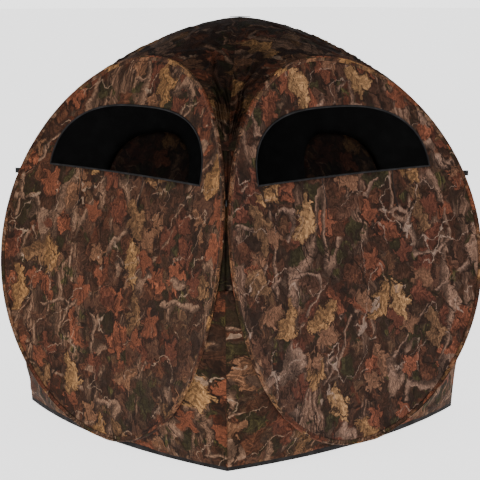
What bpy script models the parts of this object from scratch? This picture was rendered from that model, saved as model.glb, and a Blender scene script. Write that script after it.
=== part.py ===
"""Pop-up ground blind: four spring-steel hoop walls, a soft roof and a skirt.

Metres, +Z up. The origin is on the ground at the middle of the footprint. The
front wall faces -Y, the right wall +X, the back wall +Y and the left wall -X.

Each wall hangs in an oval hoop that leans in at the top. Its sides bow outward
and its top and bottom bow inward, so that the wall is a shallow saddle. A point
on a wall is given as (u, v, w): u along the wall, v up its slope from the
hoop's centre, and w outward from the fabric.
"""
import math

import bmesh
import bpy
from mathutils import Matrix, Vector

# --- Hoops and walls ---
HOOP_HALF_WIDTH = 0.711
HOOP_HALF_HEIGHT = 0.782
WALL_OFFSET = 0.689          # from the middle of the blind to the wall's centre
LEAN = math.radians(10.8)
SIDE_BOW = 0.060             # how far the hoop's sides stand out
END_BOW = 0.0705             # how far its top and bottom stand in
GROUND_GAP = 0.0016          # under the lowest point of a hoop's sleeve
FABRIC = 0.0016
SOFT_FABRIC = 0.0024         # the roof and the skirts
HOOP_SEGMENTS = 32

BAND_RADIAL = 0.0016         # spring-steel band
BAND_WIDTH = 0.008
FERRULE_LENGTH = 0.060
FERRULE_GAP = 0.0004
FERRULE_WALL = 0.0009
SLEEVE_RADIAL = 0.009        # sewn sleeve round the band
SLEEVE_WIDTH = 0.015
SLEEVE_WALL = 0.0015
SLEEVE_SLIT = 0.0024
CLEAR = 0.0005

# --- Corner fold lines: the front right corner closes, its neighbours open ---
OPENING_SHIFT = 0.006        # how far outside the corner an opening fold line is

# --- Roof ---
ROOF_HEIGHT = 1.700
ROOF_START = math.radians(35)    # hoop angle where the roof leaves the corner
ROOF_CURVE = 1.70                # exponent of the seam's fall from the peak
ROOF_BULGE = 0.034
ROOF_SEAM_TAPER = 0.9            # exponent of the seam's way in to the peak
ROOF_GAP = 0.004                 # between the gores and the sleeves
ROOF_BEHIND = 0.002
PEAK_DROP = 0.004                # of the gores below the patch's top
SEAM_GAP = 0.0012                # from a sheet's edge to the line of its seam
ROOF_CENTRE = Vector((0.0, 0.0, 0.9))
PATCH_RISE = 0.0012
PATCH_RADIUS = 0.045

# --- Corner tapes: hoop angles and how far behind the sleeves ---
TAPE_FIRST = math.radians(-4.5)
TAPE_LAST = math.radians(36)
TAPE_TUCK = 0.0165

# --- Lower gussets and ground skirt ---
SKIRT_START = math.radians(-4)
BASE_CORNER = 0.660              # half the distance between ground corners
BASE_BULGE = 0.755               # how far out the hem runs at the wall's middle
HEM_HEIGHT = 0.020
HEM_THICKNESS = 0.003
SEAM_TUCK = 0.010
SKIRT_TUCK = 0.020
SKIRT_BEHIND = 0.0105

# --- Webbing loops at the corners ---
LOOP_WIDTH = 0.022
LOOP_THICKNESS = 0.003
TAB_ROUNDING = 6
TIE_LOOP_HEIGHT = 1.035
TIE_LOOP_START = -0.006
TIE_LOOP_LENGTH = 0.032
STAKE_LOOP_START = 0.018
STAKE_LOOP_LENGTH = 0.036

# --- Openings: (half width, height, height of the sill above ground) ---
BIG_WINDOW = (0.495, 0.279, 1.075)
SMALL_WINDOW = (0.228, 0.240, 0.905)
ARCH_POWER_SIDE = 2.75
ARCH_POWER_TOP = 2.4
ARCH_SEGMENTS = 16
SILL_SEGMENTS = 6
BINDING = 0.006
BINDING_THICKNESS = 0.005
FLAP_MARGIN = 0.018
FLAP_BEHIND = 0.012
FLAP_HINGE_DROP = 0.004
FLAP_HINGE_GAP = 0.002
FLAP_THICKNESS = 0.002

# --- Door in the left wall ---
DOOR_HALF_WIDTH = 0.330
DOOR_ARCH_V = -0.255
DOOR_BOTTOM_V = -0.600
DOOR_GAP = 0.005
DOOR_ARC_SEGMENTS = 16
TAPE_WIDTH = 0.012
ZIP_CLEAR = 0.0030           # under the zip's tape, over the curved wall
ZIP_STAND = 0.0125           # the zip's flat face above the wall's chord
ZIP_GAP = 0.001
DOOR_END_ROW = 0.03          # keeps the door's first and last rows apart

# --- Window tie cords: wall, place along the sill, hanging length ---
CORD_DIAMETER = 0.003
CORD_GAP = 0.0013            # between a cord and the wall's fabric
CORD_SWAY = 0.004
CORDS = (
    ("front", "left", -0.270, 0.142),
    ("front", "right", 0.120, 0.116),
    ("right", "left", -0.130, 0.160),
    ("right", "right", 0.270, 0.152),
)

WALLS = ("front", "right", "back", "left")
CORNERS = ("front_right", "back_right", "back_left", "front_left")

CAMO = (0.20, 0.13, 0.08)
ROOF_CAMO = (0.13, 0.09, 0.06)
BLACK = (0.012, 0.012, 0.012)
STEEL = (0.45, 0.45, 0.47)

HOOP_CENTRE_Z = (
    HOOP_HALF_HEIGHT * math.cos(LEAN) + SLEEVE_RADIAL / 2 + GROUND_GAP
)


# --- Blender helpers ---
def clear_scene():
    for obj in list(bpy.data.objects):
        bpy.data.objects.remove(obj, do_unlink=True)


def make_material(name, colour, roughness=0.85, metallic=0.0):
    material = bpy.data.materials.new(name)
    material.use_nodes = True
    shader = material.node_tree.nodes["Principled BSDF"]
    shader.inputs["Base Color"].default_value = (*colour, 1.0)
    shader.inputs["Roughness"].default_value = roughness
    shader.inputs["Metallic"].default_value = metallic
    return material


def make_pivot(name, place):
    """An empty on a joint's axis, which parents the pieces that turn there."""
    pivot = bpy.data.objects.new(name, None)
    pivot.location = place
    pivot.empty_display_size = 0.05
    bpy.context.collection.objects.link(pivot)
    return pivot


def make_solid(name, points, faces, colour, pivot, metallic=0.0, smooth=True):
    """One closed body from world points, held by its pivot."""
    home = Vector(pivot.location)
    mesh = bpy.data.meshes.new(name)
    mesh.from_pydata([Vector(p) - home for p in points], [], faces)
    work = bmesh.new()
    work.from_mesh(mesh)
    bmesh.ops.recalc_face_normals(work, faces=work.faces)
    work.to_mesh(mesh)
    work.free()
    if smooth:
        mesh.shade_smooth()
        mesh.set_sharp_from_angle(angle=math.radians(40))
    obj = bpy.data.objects.new(name, mesh)
    bpy.context.collection.objects.link(obj)
    obj.parent = pivot
    roughness = 0.35 if metallic else 0.85
    mesh.materials.append(make_material(name, colour, roughness, metallic))
    return obj


def cut(target, outline, wall, near, far):
    """Cut a prism through a wall, with its outline given in (u, v)."""
    count = len(outline)
    points = [on_wall(wall, u, v, near) for u, v in outline]
    points += [on_wall(wall, u, v, far) for u, v in outline]
    faces = [list(range(count)), list(range(2 * count - 1, count - 1, -1))]
    for i in range(count):
        j = (i + 1) % count
        faces.append([i, j, count + j, count + i])
    mesh = bpy.data.meshes.new("opening_cutter")
    mesh.from_pydata(points, [], faces)
    work = bmesh.new()
    work.from_mesh(mesh)
    bmesh.ops.recalc_face_normals(work, faces=work.faces)
    bmesh.ops.triangulate(work, faces=work.faces)
    work.to_mesh(mesh)
    work.free()
    cutter = bpy.data.objects.new("opening_cutter", mesh)
    bpy.context.collection.objects.link(cutter)
    cutter.hide_render = True
    cutter.display_type = "WIRE"
    opening = target.modifiers.new("opening", "BOOLEAN")
    opening.operation = "DIFFERENCE"
    opening.solver = "EXACT"
    opening.object = cutter


# --- Geometry of the walls ---
def wall_axes(wall):
    turn = Matrix.Rotation(math.radians(90 * wall), 3, "Z")
    return turn @ Vector((1, 0, 0)), turn @ Vector((0, -1, 0))


def on_wall(wall, u, v, w=0.0):
    along, outward = wall_axes(wall)
    bow = (
        SIDE_BOW * (u / HOOP_HALF_WIDTH) ** 2 - END_BOW * (v / HOOP_HALF_HEIGHT) ** 2
    )
    reach = WALL_OFFSET - v * math.sin(LEAN) + bow + w * math.cos(LEAN)
    height = HOOP_CENTRE_Z + v * math.cos(LEAN) + w * math.sin(LEAN)
    return along * u + outward * reach + Vector((0, 0, height))


def on_hoop(wall, angle, outward=0.0, w=0.0):
    """A point at an angle round the hoop, moved out from it by outward."""
    u = (HOOP_HALF_WIDTH + outward) * math.cos(angle)
    v = (HOOP_HALF_HEIGHT + outward) * math.sin(angle)
    return on_wall(wall, u, v, w)


def slope_v(height):
    """The v of a point on the wall at a height above the ground."""
    return (height - HOOP_CENTRE_Z) / math.cos(LEAN)


def ring_angles(count=HOOP_SEGMENTS):
    return [2 * math.pi * i / count for i in range(count)]


def corner_middle(corner, angle):
    """Halfway between the two hoops that meet at a corner."""
    mine = on_hoop(corner, angle)
    theirs = on_hoop((corner + 1) % 4, math.pi - angle)
    return (mine + theirs) / 2


def corner_axis(corner):
    """A point on the line that two walls fold about, level with the hoops."""
    along, outward = wall_axes(corner)
    shift = 0.0 if CORNERS[corner] == "front_right" else OPENING_SHIFT
    return corner_middle(corner, 0.0) + (along + outward) * shift


# --- Solids from rings and grids ---
def swept_faces(rings, size, closed):
    faces = []
    for i in range(rings if closed else rings - 1):
        j = (i + 1) % rings
        for a in range(size):
            b = (a + 1) % size
            faces.append([i * size + a, i * size + b, j * size + b, j * size + a])
    return faces


def sweep_hoop(name, wall, section, colour, pivot, metallic=0.0):
    """Carry a section of (outward, w) points right round a hoop."""
    points = []
    for angle in ring_angles():
        points += [on_hoop(wall, angle, out, w) for out, w in section]
    faces = swept_faces(HOOP_SEGMENTS, len(section), closed=True)
    return make_solid(name, points, faces, colour, pivot, metallic, smooth=False)


def sheet_solid(name, grid, normals, thickness, colour, pivot):
    """A closed sheet from a grid of points, thickened along the normals."""
    rows, columns = len(grid), len(grid[0])
    half = thickness / 2
    points = []
    for side in (half, -half):
        for i in range(rows):
            for j in range(columns):
                points.append(grid[i][j] + normals[i][j] * side)
    far = rows * columns
    faces = []
    for i in range(rows - 1):
        for j in range(columns - 1):
            a = i * columns + j
            for tri in ([a, a + 1, a + columns + 1], [a, a + columns + 1, a + columns]):
                faces.append(tri)
                faces.append([far + q for q in reversed(tri)])
    rim = [(0, j) for j in range(columns)]
    rim += [(i, columns - 1) for i in range(1, rows)]
    rim += [(rows - 1, j) for j in range(columns - 2, -1, -1)]
    rim += [(i, 0) for i in range(rows - 2, 0, -1)]
    edge = [i * columns + j for i, j in rim]
    for a, b in zip(edge, edge[1:] + edge[:1]):
        faces.append([a, b, far + b, far + a])
    return make_solid(name, points, faces, colour, pivot)


def prism(name, outline, low, high, colour, pivot):
    """A closed plate: outline is a loop of points, low and high its two shifts."""
    count = len(outline)
    points = [p + low for p in outline] + [p + high for p in outline]
    faces = [list(range(count)), list(range(2 * count - 1, count - 1, -1))]
    for i in range(count):
        j = (i + 1) % count
        faces.append([i, j, count + j, count + i])
    return make_solid(name, points, faces, colour, pivot)


# --- Outlines in (u, v) ---
def window_outline(window, grow=0.0):
    """Flat sill, rounded shoulders and a flat-topped arch, from the right corner."""
    half, height, sill = window
    low = slope_v(sill)
    points = []
    for i in range(ARCH_SEGMENTS + 1):
        angle = math.pi * i / ARCH_SEGMENTS
        side = abs(math.cos(angle)) ** (2 / ARCH_POWER_SIDE)
        rise = math.sin(angle) ** (2 / ARCH_POWER_TOP) if 0 < i < ARCH_SEGMENTS else 0
        u = math.copysign((half + grow) * side, math.cos(angle))
        points.append((u, low - grow + (height + 2 * grow) * rise))
    for i in range(1, SILL_SEGMENTS):
        u = -half - grow + 2 * (half + grow) * i / SILL_SEGMENTS
        points.append((u, low - grow))
    return points


def door_outline(inset=0.0):
    """An arched doorway, from the foot of its right leg."""
    half = DOOR_HALF_WIDTH - inset
    points = [(half, DOOR_BOTTOM_V + inset)]
    for i in range(DOOR_ARC_SEGMENTS + 1):
        angle = math.pi * i / DOOR_ARC_SEGMENTS
        points.append((half * math.cos(angle), DOOR_ARCH_V + half * math.sin(angle)))
    points.append((-half, DOOR_BOTTOM_V + inset))
    return points


# --- Pieces of one wall ---
def build_hoop(wall, pivot):
    r, w = BAND_RADIAL / 2, BAND_WIDTH / 2
    section = [(-r, -w), (r, -w), (r, w), (-r, w)]
    sweep_hoop(f"{WALLS[wall]}_hoop", wall, section, STEEL, pivot, metallic=1.0)


def build_ferrule(wall, pivot):
    """The crimped tube over the band's ends, on one straight run by the ground."""
    first = -math.pi / 2
    last = first + 2 * math.pi / HOOP_SEGMENTS
    share = FERRULE_LENGTH / 2 / (on_hoop(wall, last) - on_hoop(wall, first)).length
    ring = [(-1, -1), (1, -1), (1, 1), (-1, 1)]
    points = []
    for place in (0.5 - share, 0.5 + share):
        for grow in (FERRULE_GAP + FERRULE_WALL, FERRULE_GAP):
            r, w = BAND_RADIAL / 2 + grow, BAND_WIDTH / 2 + grow
            for a, b in ring:
                start = on_hoop(wall, first, a * r, b * w)
                points.append(start.lerp(on_hoop(wall, last, a * r, b * w), place))
    faces = []
    for a in range(4):
        b = (a + 1) % 4
        faces.append([a, b, 8 + b, 8 + a])
        faces.append([4 + a, 12 + a, 12 + b, 4 + b])
        faces.append([a, 4 + a, 4 + b, b])
        faces.append([8 + a, 8 + b, 12 + b, 12 + a])
    name = f"{WALLS[wall]}_hoop_ferrule"
    make_solid(name, points, faces, STEEL, pivot, metallic=1.0, smooth=False)


def build_sleeve(wall, pivot):
    """The sewn sleeve: a channel round the band, with its slit towards the panel."""
    r, w = SLEEVE_RADIAL / 2, SLEEVE_WIDTH / 2
    ri, wi = r - SLEEVE_WALL, w - SLEEVE_WALL
    slit = SLEEVE_SLIT / 2
    section = [
        (-r, slit), (-r, w), (r, w), (r, -w), (-r, -w), (-r, -slit),
        (-ri, -slit), (-ri, -wi), (ri, -wi), (ri, wi), (-ri, wi), (-ri, slit),
    ]
    sweep_hoop(f"{WALLS[wall]}_hoop_sleeve", wall, section, CAMO, pivot)


def build_panel(wall, pivot):
    """The wall's fabric, with its window and, on the left wall, its doorway."""
    inset = SLEEVE_RADIAL / 2 + CLEAR
    shares = (1.0, 0.80, 0.58, 0.33)
    angles = ring_angles()
    points, faces = [], []
    for w in (FABRIC / 2, -FABRIC / 2):
        for share in shares:
            for angle in angles:
                u = (HOOP_HALF_WIDTH - inset) * share * math.cos(angle)
                v = (HOOP_HALF_HEIGHT - inset) * share * math.sin(angle)
                points.append(on_wall(wall, u, v, w))
        points.append(on_wall(wall, 0, 0, w))
    count = HOOP_SEGMENTS
    layer = len(shares) * count + 1
    for side in (0, 1):
        base = side * layer
        for i in range(count):
            j = (i + 1) % count
            for s in range(len(shares) - 1):
                a = base + s * count
                faces.append([a + i, a + j, a + count + j, a + count + i])
            last = base + (len(shares) - 1) * count
            faces.append([last + i, last + j, base + layer - 1])
    for i in range(count):
        j = (i + 1) % count
        faces.append([i, j, layer + j, layer + i])
    panel = make_solid(f"{WALLS[wall]}_wall_panel", points, faces, CAMO, pivot)
    cut(panel, window_outline(wall_window(wall)), wall, 0.02, -0.02)
    if WALLS[wall] == "left":
        cut(panel, door_outline(), wall, 0.02, -0.02)


def wall_window(wall):
    return BIG_WINDOW if WALLS[wall] in ("front", "right") else SMALL_WINDOW


def build_binding(wall, pivot):
    """The tape bound round the window's edge."""
    outer = window_outline(wall_window(wall), -CLEAR)
    inner = window_outline(wall_window(wall), -CLEAR - BINDING)
    half = BINDING_THICKNESS / 2
    points = []
    for (u, v), (ui, vi) in zip(outer, inner):
        points += [
            on_wall(wall, u, v, -half),
            on_wall(wall, u, v, half),
            on_wall(wall, ui, vi, half),
            on_wall(wall, ui, vi, -half),
        ]
    faces = swept_faces(len(outer), 4, closed=True)
    name = f"{WALLS[wall]}_window_binding"
    make_solid(name, points, faces, BLACK, pivot, smooth=False)


def flap_hinge(wall):
    """A point on the flap's straight hinge line, behind the window's sill."""
    low = slope_v(wall_window(wall)[2]) - BINDING - FLAP_HINGE_DROP
    return on_wall(wall, 0.0, low, -FLAP_BEHIND)


def build_flap(wall, pivot):
    """A window's cover, a flat plate close behind the wall. A big window's is
    open and hangs down from its hinge; a small window's is shut."""
    window = wall_window(wall)
    open_sign = -1 if window is BIG_WINDOW else 1
    along, _ = wall_axes(wall)
    low = slope_v(window[2])
    far = on_wall(wall, 0.0, low + open_sign * window[1], -FLAP_BEHIND)
    reach = (far - flap_hinge(wall)).normalized()
    face = along.cross(reach)
    start = Vector(pivot.location) + reach * FLAP_HINGE_GAP
    outline = [
        start + along * u + reach * (v - low + FLAP_MARGIN)
        for u, v in window_outline(window, FLAP_MARGIN)
    ]
    half = FLAP_THICKNESS / 2
    colour = BLACK if window is BIG_WINDOW else CAMO
    prism(f"{WALLS[wall]}_window_flap", outline, face * -half, face * half, colour, pivot)


def build_roof_gore(wall, pivot):
    """A quarter of the roof, from the hoop's top arc in to the peak."""
    rows, columns = 17, 5
    grid, normals = [], []
    for i in range(rows):
        turn = i / (rows - 1)
        angle = ROOF_START + (math.pi - 2 * ROOF_START) * turn
        edge = on_hoop(wall, angle, SLEEVE_RADIAL / 2 + ROOF_GAP, -ROOF_BEHIND)
        seam = roof_seam(wall, turn)
        span = (seam - edge).length
        line, aim = [], []
        for j in range(columns):
            t = j / (columns - 1)
            point = edge.lerp(seam, t)
            out = (point - ROOF_CENTRE).normalized()
            point += out * ROOF_BULGE * (span / 0.5) ** 2 * 4 * t * (1 - t)
            line.append(point)
            aim.append(out)
        grid.append(line)
        normals.append(aim)
    name = f"{WALLS[wall]}_roof_gore"
    sheet_solid(name, grid, normals, SOFT_FABRIC, ROOF_CAMO, pivot)


def roof_seam(wall, turn):
    """A point on a gore's inner edge: up one corner seam to the peak and down."""
    right = turn < 0.5
    corner = wall if right else (wall + 3) % 4
    share = 2 * turn if right else 2 * (1 - turn)
    foot = corner_middle(corner, ROOF_START)
    along, outward = wall_axes(wall)
    side = along if right else -along
    reach = outward.dot(foot)
    away = (1 - share) ** ROOF_SEAM_TAPER
    peak = ROOF_HEIGHT - PEAK_DROP
    drop = (peak - foot.z) * away ** ROOF_CURVE
    place = (side + outward) * reach * away
    tuck = outward * SEAM_GAP - side * SEAM_GAP * (1 if share < 1 else 0)
    return place + tuck + Vector((0, 0, peak - drop))


def base_line(wall, share, inset=0.0):
    """A point of the ground line, share running from -1 to 1 along the wall."""
    along, outward = wall_axes(wall)
    half = BASE_CORNER - inset
    bulge = (BASE_BULGE - BASE_CORNER) * (1 - share * share)
    return along * half * share + outward * (BASE_CORNER + bulge)


def skirt_edge(wall, turn):
    """A point on a skirt's outer edge: down a corner seam and along the ground."""
    right = turn < 0.5
    corner = wall if right else (wall + 3) % 4
    share = 2 * turn if right else 2 * (1 - turn)
    along, outward = wall_axes(wall)
    side = along if right else -along
    top = corner_middle(corner, SKIRT_START)
    seam_part = 0.5
    if share < seam_part:
        t = share / seam_part
        reach = outward.dot(top) * (1 - t) + BASE_CORNER * t
        reach -= SEAM_TUCK * 4 * t * (1 - t)
        height = top.z * (1 - t) + (HEM_HEIGHT + CLEAR) * t
        place = (side + outward) * reach
        return place - side * SEAM_GAP + Vector((0, 0, height))
    t = (share - seam_part) / (1 - seam_part)
    place = base_line(wall, (1 - t) * (1 if right else -1), inset=SEAM_GAP)
    return place + Vector((0, 0, HEM_HEIGHT + CLEAR))


def build_skirt(wall, pivot):
    """The lower fabric between the hoop, the two corner seams and the ground."""
    rows, columns = 17, 4
    grid, normals = [], []
    for i in range(rows):
        turn = i / (rows - 1)
        angle = SKIRT_START - (math.pi + 2 * SKIRT_START) * turn
        edge = on_hoop(wall, angle, -SKIRT_TUCK * math.sin(math.pi * turn), -SKIRT_BEHIND)
        rim = skirt_edge(wall, turn)
        along, outward = wall_axes(wall)
        line = [edge.lerp(rim, j / (columns - 1)) for j in range(columns)]
        side = along * (0.8 * math.cos(math.pi * turn))
        out = (outward + side).normalized()
        grid.append(line)
        normals.append([out] * columns)
    name = f"{WALLS[wall]}_skirt"
    sheet_solid(name, grid, normals, SOFT_FABRIC, CAMO, pivot)


def build_hem(wall, pivot):
    """The folded hem that stands on the ground."""
    _, outward = wall_axes(wall)
    steps = 12
    half = HEM_THICKNESS / 2
    points = []
    for i in range(steps + 1):
        share = -1 + 2 * i / steps
        for side in (-half, half):
            inset = SEAM_GAP / 2 - side
            middle = base_line(wall, share, inset) + outward * side
            points.append(middle + Vector((0, 0, HEM_HEIGHT)))
            points.append(middle)
    count = steps + 1
    faces = []
    for i in range(steps):
        a, b = 4 * i, 4 * (i + 1)
        faces.append([a, b, b + 1, a + 1])
        faces.append([a + 2, a + 3, b + 3, b + 2])
        faces.append([a, a + 2, b + 2, b])
        faces.append([a + 1, b + 1, b + 3, a + 3])
    last = 4 * (count - 1)
    faces.append([0, 1, 3, 2])
    faces.append([last, last + 2, last + 3, last + 1])
    make_solid(f"{WALLS[wall]}_ground_hem", points, faces, BLACK, pivot, smooth=False)


# --- Corners, roof patch, loops ---
def build_corner_tape(corner, pivot):
    """The strip that joins two neighbouring sleeves, just inside them."""
    along, outward = wall_axes(corner)
    away = (along + outward).normalized()
    steps = 8
    grid, normals = [], []
    for i in range(steps + 1):
        angle = TAPE_FIRST + (TAPE_LAST - TAPE_FIRST) * i / steps
        mine = on_hoop(corner, angle) - away * TAPE_TUCK
        theirs = on_hoop((corner + 1) % 4, math.pi - angle) - away * TAPE_TUCK
        grid.append([mine.lerp(theirs, t) for t in (0.0, 0.5, 1.0)])
        normals.append([away] * 3)
    name = f"{CORNERS[corner]}_corner_tape"
    sheet_solid(name, grid, normals, FABRIC, BLACK, pivot)


def build_roof_patch(pivot):
    """The reinforcing patch over the roof's peak."""
    count = 8
    top = Vector((0, 0, ROOF_HEIGHT))
    step = Vector((0, 0, PATCH_RISE))
    points = [top, top - step]
    for i in range(count):
        angle = 2 * math.pi * (i + 0.5) / count
        rim = Vector((math.cos(angle), math.sin(angle), 0)) * PATCH_RADIUS
        points.append(top + rim - step)
        points.append(top + rim - step * 2)
    faces = []
    for i in range(count):
        a, b = 2 + 2 * i, 2 + 2 * ((i + 1) % count)
        faces.append([0, a, b])
        faces.append([1, b + 1, a + 1])
        faces.append([a, a + 1, b + 1, b])
    make_solid("roof_peak_patch", points, faces, BLACK, pivot)


def build_tab(name, root, reach, width, thickness, pivot):
    """A flat webbing loop, folded shut: three edge vectors from its root."""
    outline = [root - width / 2, root + width / 2]
    for i in range(TAB_ROUNDING + 1):
        angle = math.pi * i / TAB_ROUNDING
        bend = width / 2 * math.cos(angle)
        outline.append(root + reach * (0.6 + 0.4 * math.sin(angle)) + bend)
    prism(name, outline, thickness * -0.5, thickness * 0.5, BLACK, pivot)


def build_tie_loop(corner, pivot):
    """The guy-line loop, which comes out between the two hoops."""
    along, outward = wall_axes(corner)
    angle = math.asin(slope_v(TIE_LOOP_HEIGHT) / HOOP_HALF_HEIGHT)
    away = (along + outward).normalized()
    across = (along - outward).normalized()
    root = corner_middle(corner, angle) + away * TIE_LOOP_START
    reach = away * TIE_LOOP_LENGTH
    width = Vector((0, 0, LOOP_WIDTH))
    name = f"{CORNERS[corner]}_tie_loop"
    build_tab(name, root, reach, width, across * LOOP_THICKNESS, pivot)


def build_stake_loop(corner, pivot):
    """The stake loop, lying on the ground just inside the corner."""
    along, outward = wall_axes(corner)
    inward = -(along + outward).normalized()
    across = (along - outward).normalized()
    up = Vector((0, 0, 1))
    root = (along + outward) * BASE_CORNER + inward * STAKE_LOOP_START
    root += up * (LOOP_THICKNESS / 2 + GROUND_GAP)
    reach = inward * STAKE_LOOP_LENGTH
    name = f"{CORNERS[corner]}_stake_loop"
    build_tab(name, root, reach, across * LOOP_WIDTH, up * LOOP_THICKNESS, pivot)


# --- Door ---
def build_door_flap(pivot):
    """The arched door, which follows the wall's curve."""
    wall = WALLS.index("left")
    rows = 12
    half = DOOR_HALF_WIDTH - DOOR_GAP
    low = DOOR_BOTTOM_V + DOOR_GAP
    grid, normals = [], []
    _, outward = wall_axes(wall)
    out = outward * math.cos(LEAN) + Vector((0, 0, math.sin(LEAN)))
    for i in range(rows + 1):
        turn = DOOR_END_ROW + (1 - 2 * DOOR_END_ROW) * i / rows
        across = -math.cos(math.pi * turn)
        high = DOOR_ARCH_V + half * math.sqrt(1 - across * across)
        line = []
        for share in (0.0, 0.25, 0.5, 0.75, 1.0):
            line.append(on_wall(wall, half * across, low + (high - low) * share))
        grid.append(line)
        normals.append([out] * len(line))
    sheet_solid("door_flap", grid, normals, FABRIC, CAMO, pivot)


def zip_plane_w(u, v):
    """How far the flat plane of the zip's arch stands off the curved wall."""
    r = DOOR_HALF_WIDTH

    def bow(a, b):
        side = SIDE_BOW * (a / HOOP_HALF_WIDTH) ** 2
        return side - END_BOW * (b / HOOP_HALF_HEIGHT) ** 2

    foot, top = bow(r, DOOR_ARCH_V), bow(0.0, DOOR_ARCH_V + r)
    share = (v - DOOR_ARCH_V) / r
    plane = foot + (top - foot) * share
    return plane - bow(u, v)


def build_zip_track(pivot):
    """The zip's tape and coil over the door's arch, with a flat outer face."""
    wall = WALLS.index("left")
    steps = 20
    points = []
    for i in range(steps + 1):
        angle = math.pi * i / steps
        for out, level in ((0.0, 0), (TAPE_WIDTH, 0), (TAPE_WIDTH, 1), (0.0, 1)):
            r = DOOR_HALF_WIDTH + ZIP_GAP + out
            u, v = r * math.cos(angle), DOOR_ARCH_V + r * math.sin(angle)
            w = zip_plane_w(u, v) + ZIP_STAND if level else ZIP_CLEAR
            points.append(on_wall(wall, u, v, w))
    faces = swept_faces(steps + 1, 4, closed=False)
    last = 4 * steps
    faces.append([0, 1, 2, 3])
    faces.append([last + 3, last + 2, last + 1, last])
    make_solid("door_zip_track", points, faces, BLACK, pivot, smooth=False)


def zip_block(name, r_low, r_high, angles, w_low, w_high, pivot):
    wall = WALLS.index("left")
    points = []
    for angle in angles:
        for r, w in ((r_low, w_low), (r_high, w_low), (r_high, w_high), (r_low, w_high)):
            u, v = r * math.cos(angle), DOOR_ARCH_V + r * math.sin(angle)
            points.append(on_wall(wall, u, v, zip_plane_w(u, v) + w))
    faces = swept_faces(2, 4, closed=False)
    faces.append([0, 1, 2, 3])
    faces.append([7, 6, 5, 4])
    make_solid(name, points, faces, STEEL, pivot, metallic=1.0, smooth=False)


def zip_axis():
    """The middle of the door's arch and the normal of its plane."""
    wall = WALLS.index("left")
    r = DOOR_HALF_WIDTH
    ends = [(r, DOOR_ARCH_V), (-r, DOOR_ARCH_V), (0.0, DOOR_ARCH_V + r)]
    right, left, top = [on_wall(wall, u, v, zip_plane_w(u, v)) for u, v in ends]
    middle = (right + left) / 2
    return middle, (right - left).cross(top - middle).normalized()


# --- Cords ---
def build_cord(wall_name, side, u, length, pivot):
    """A thin tie cord, over the sill and down the outside of the wall."""
    wall = WALLS.index(wall_name)
    radius = CORD_DIAMETER / 2
    low = slope_v(BIG_WINDOW[2])
    stand = FABRIC / 2 + radius + CORD_GAP
    steps = 16
    points = []
    for i in range(steps + 1):
        fall = length * i / steps
        sway = CORD_SWAY * math.sin(fall * 30 + 9 * u)
        lift = BINDING_THICKNESS / 2 * math.exp(-((fall / 0.012) ** 2))
        points.append(on_wall(wall, u + sway, low - 0.001 - fall, stand + lift))
    curve = bpy.data.curves.new(f"{wall_name}_{side}_tie_cord", "CURVE")
    curve.dimensions = "3D"
    curve.bevel_depth = radius
    curve.bevel_resolution = 2
    curve.use_fill_caps = True
    spline = curve.splines.new("POLY")
    spline.points.add(len(points) - 1)
    home = Vector(pivot.location)
    for knot, place in zip(spline.points, points):
        knot.co = (*(place - home), 1.0)
    obj = bpy.data.objects.new(f"{wall_name}_{side}_tie_cord", curve)
    bpy.context.collection.objects.link(obj)
    obj.parent = pivot
    curve.materials.append(make_material(obj.name, BLACK))


# --- Assembly ---
def build_wall(wall, pivot):
    build_hoop(wall, pivot)
    build_ferrule(wall, pivot)
    build_sleeve(wall, pivot)
    build_panel(wall, pivot)
    build_binding(wall, pivot)
    build_roof_gore(wall, pivot)
    build_skirt(wall, pivot)
    build_hem(wall, pivot)
    build_flap(wall, make_pivot(f"{WALLS[wall]}_flap_pivot", flap_hinge(wall)))


def build_door():
    wall = WALLS.index("left")
    side = -DOOR_HALF_WIDTH + DOOR_GAP
    middle = (DOOR_ARCH_V + DOOR_BOTTOM_V) / 2
    door_pivot = make_pivot("door_pivot", on_wall(wall, side, middle, 0.0))
    build_door_flap(door_pivot)
    slider_pivot = make_pivot("zip_pivot", zip_axis()[0])
    r = DOOR_HALF_WIDTH + ZIP_GAP + TAPE_WIDTH / 2
    angles = [math.radians(a) for a in (1.0, 3.4)]
    base = ZIP_STAND + CLEAR
    zip_block("door_zip_slider", r - 0.005, r + 0.005, angles, base, base + 0.005, slider_pivot)
    angles = [math.radians(a) for a in (-4.6, 2.6)]
    base += 0.005 + CLEAR
    zip_block("door_zip_pull", r - 0.003, r + 0.003, angles, base, base + 0.002, slider_pivot)


def main():
    clear_scene()
    pivots = {0: make_pivot("front_wall_pivot", (0, 0, 0))}
    pivots[1] = make_pivot("right_wall_pivot", corner_axis(0))
    pivots[2] = make_pivot("back_wall_pivot", corner_axis(1))
    pivots[3] = make_pivot("left_wall_pivot", corner_axis(3))
    for wall in range(4):
        build_wall(wall, pivots[wall])
    for corner in range(4):
        build_corner_tape(corner, pivots[corner])
        build_tie_loop(corner, pivots[corner])
        build_stake_loop(corner, pivots[corner])
    build_roof_patch(pivots[0])
    build_zip_track(pivots[3])
    build_door()
    for wall_name, side, u, length in CORDS:
        build_cord(wall_name, side, u, length, pivots[WALLS.index(wall_name)])
    bpy.context.view_layer.update()


main()
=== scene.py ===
"""Looks of the pop-up ground blind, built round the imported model.

The walls' geometry repeats that of the CAD source, in metres. A point on a wall
is given as (u, v, w): u along the wall, v up its slope from the hoop's centre,
and w outward from the fabric.
"""
import math

import bmesh
import bpy
from mathutils import Matrix, Vector, geometry, noise


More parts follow.
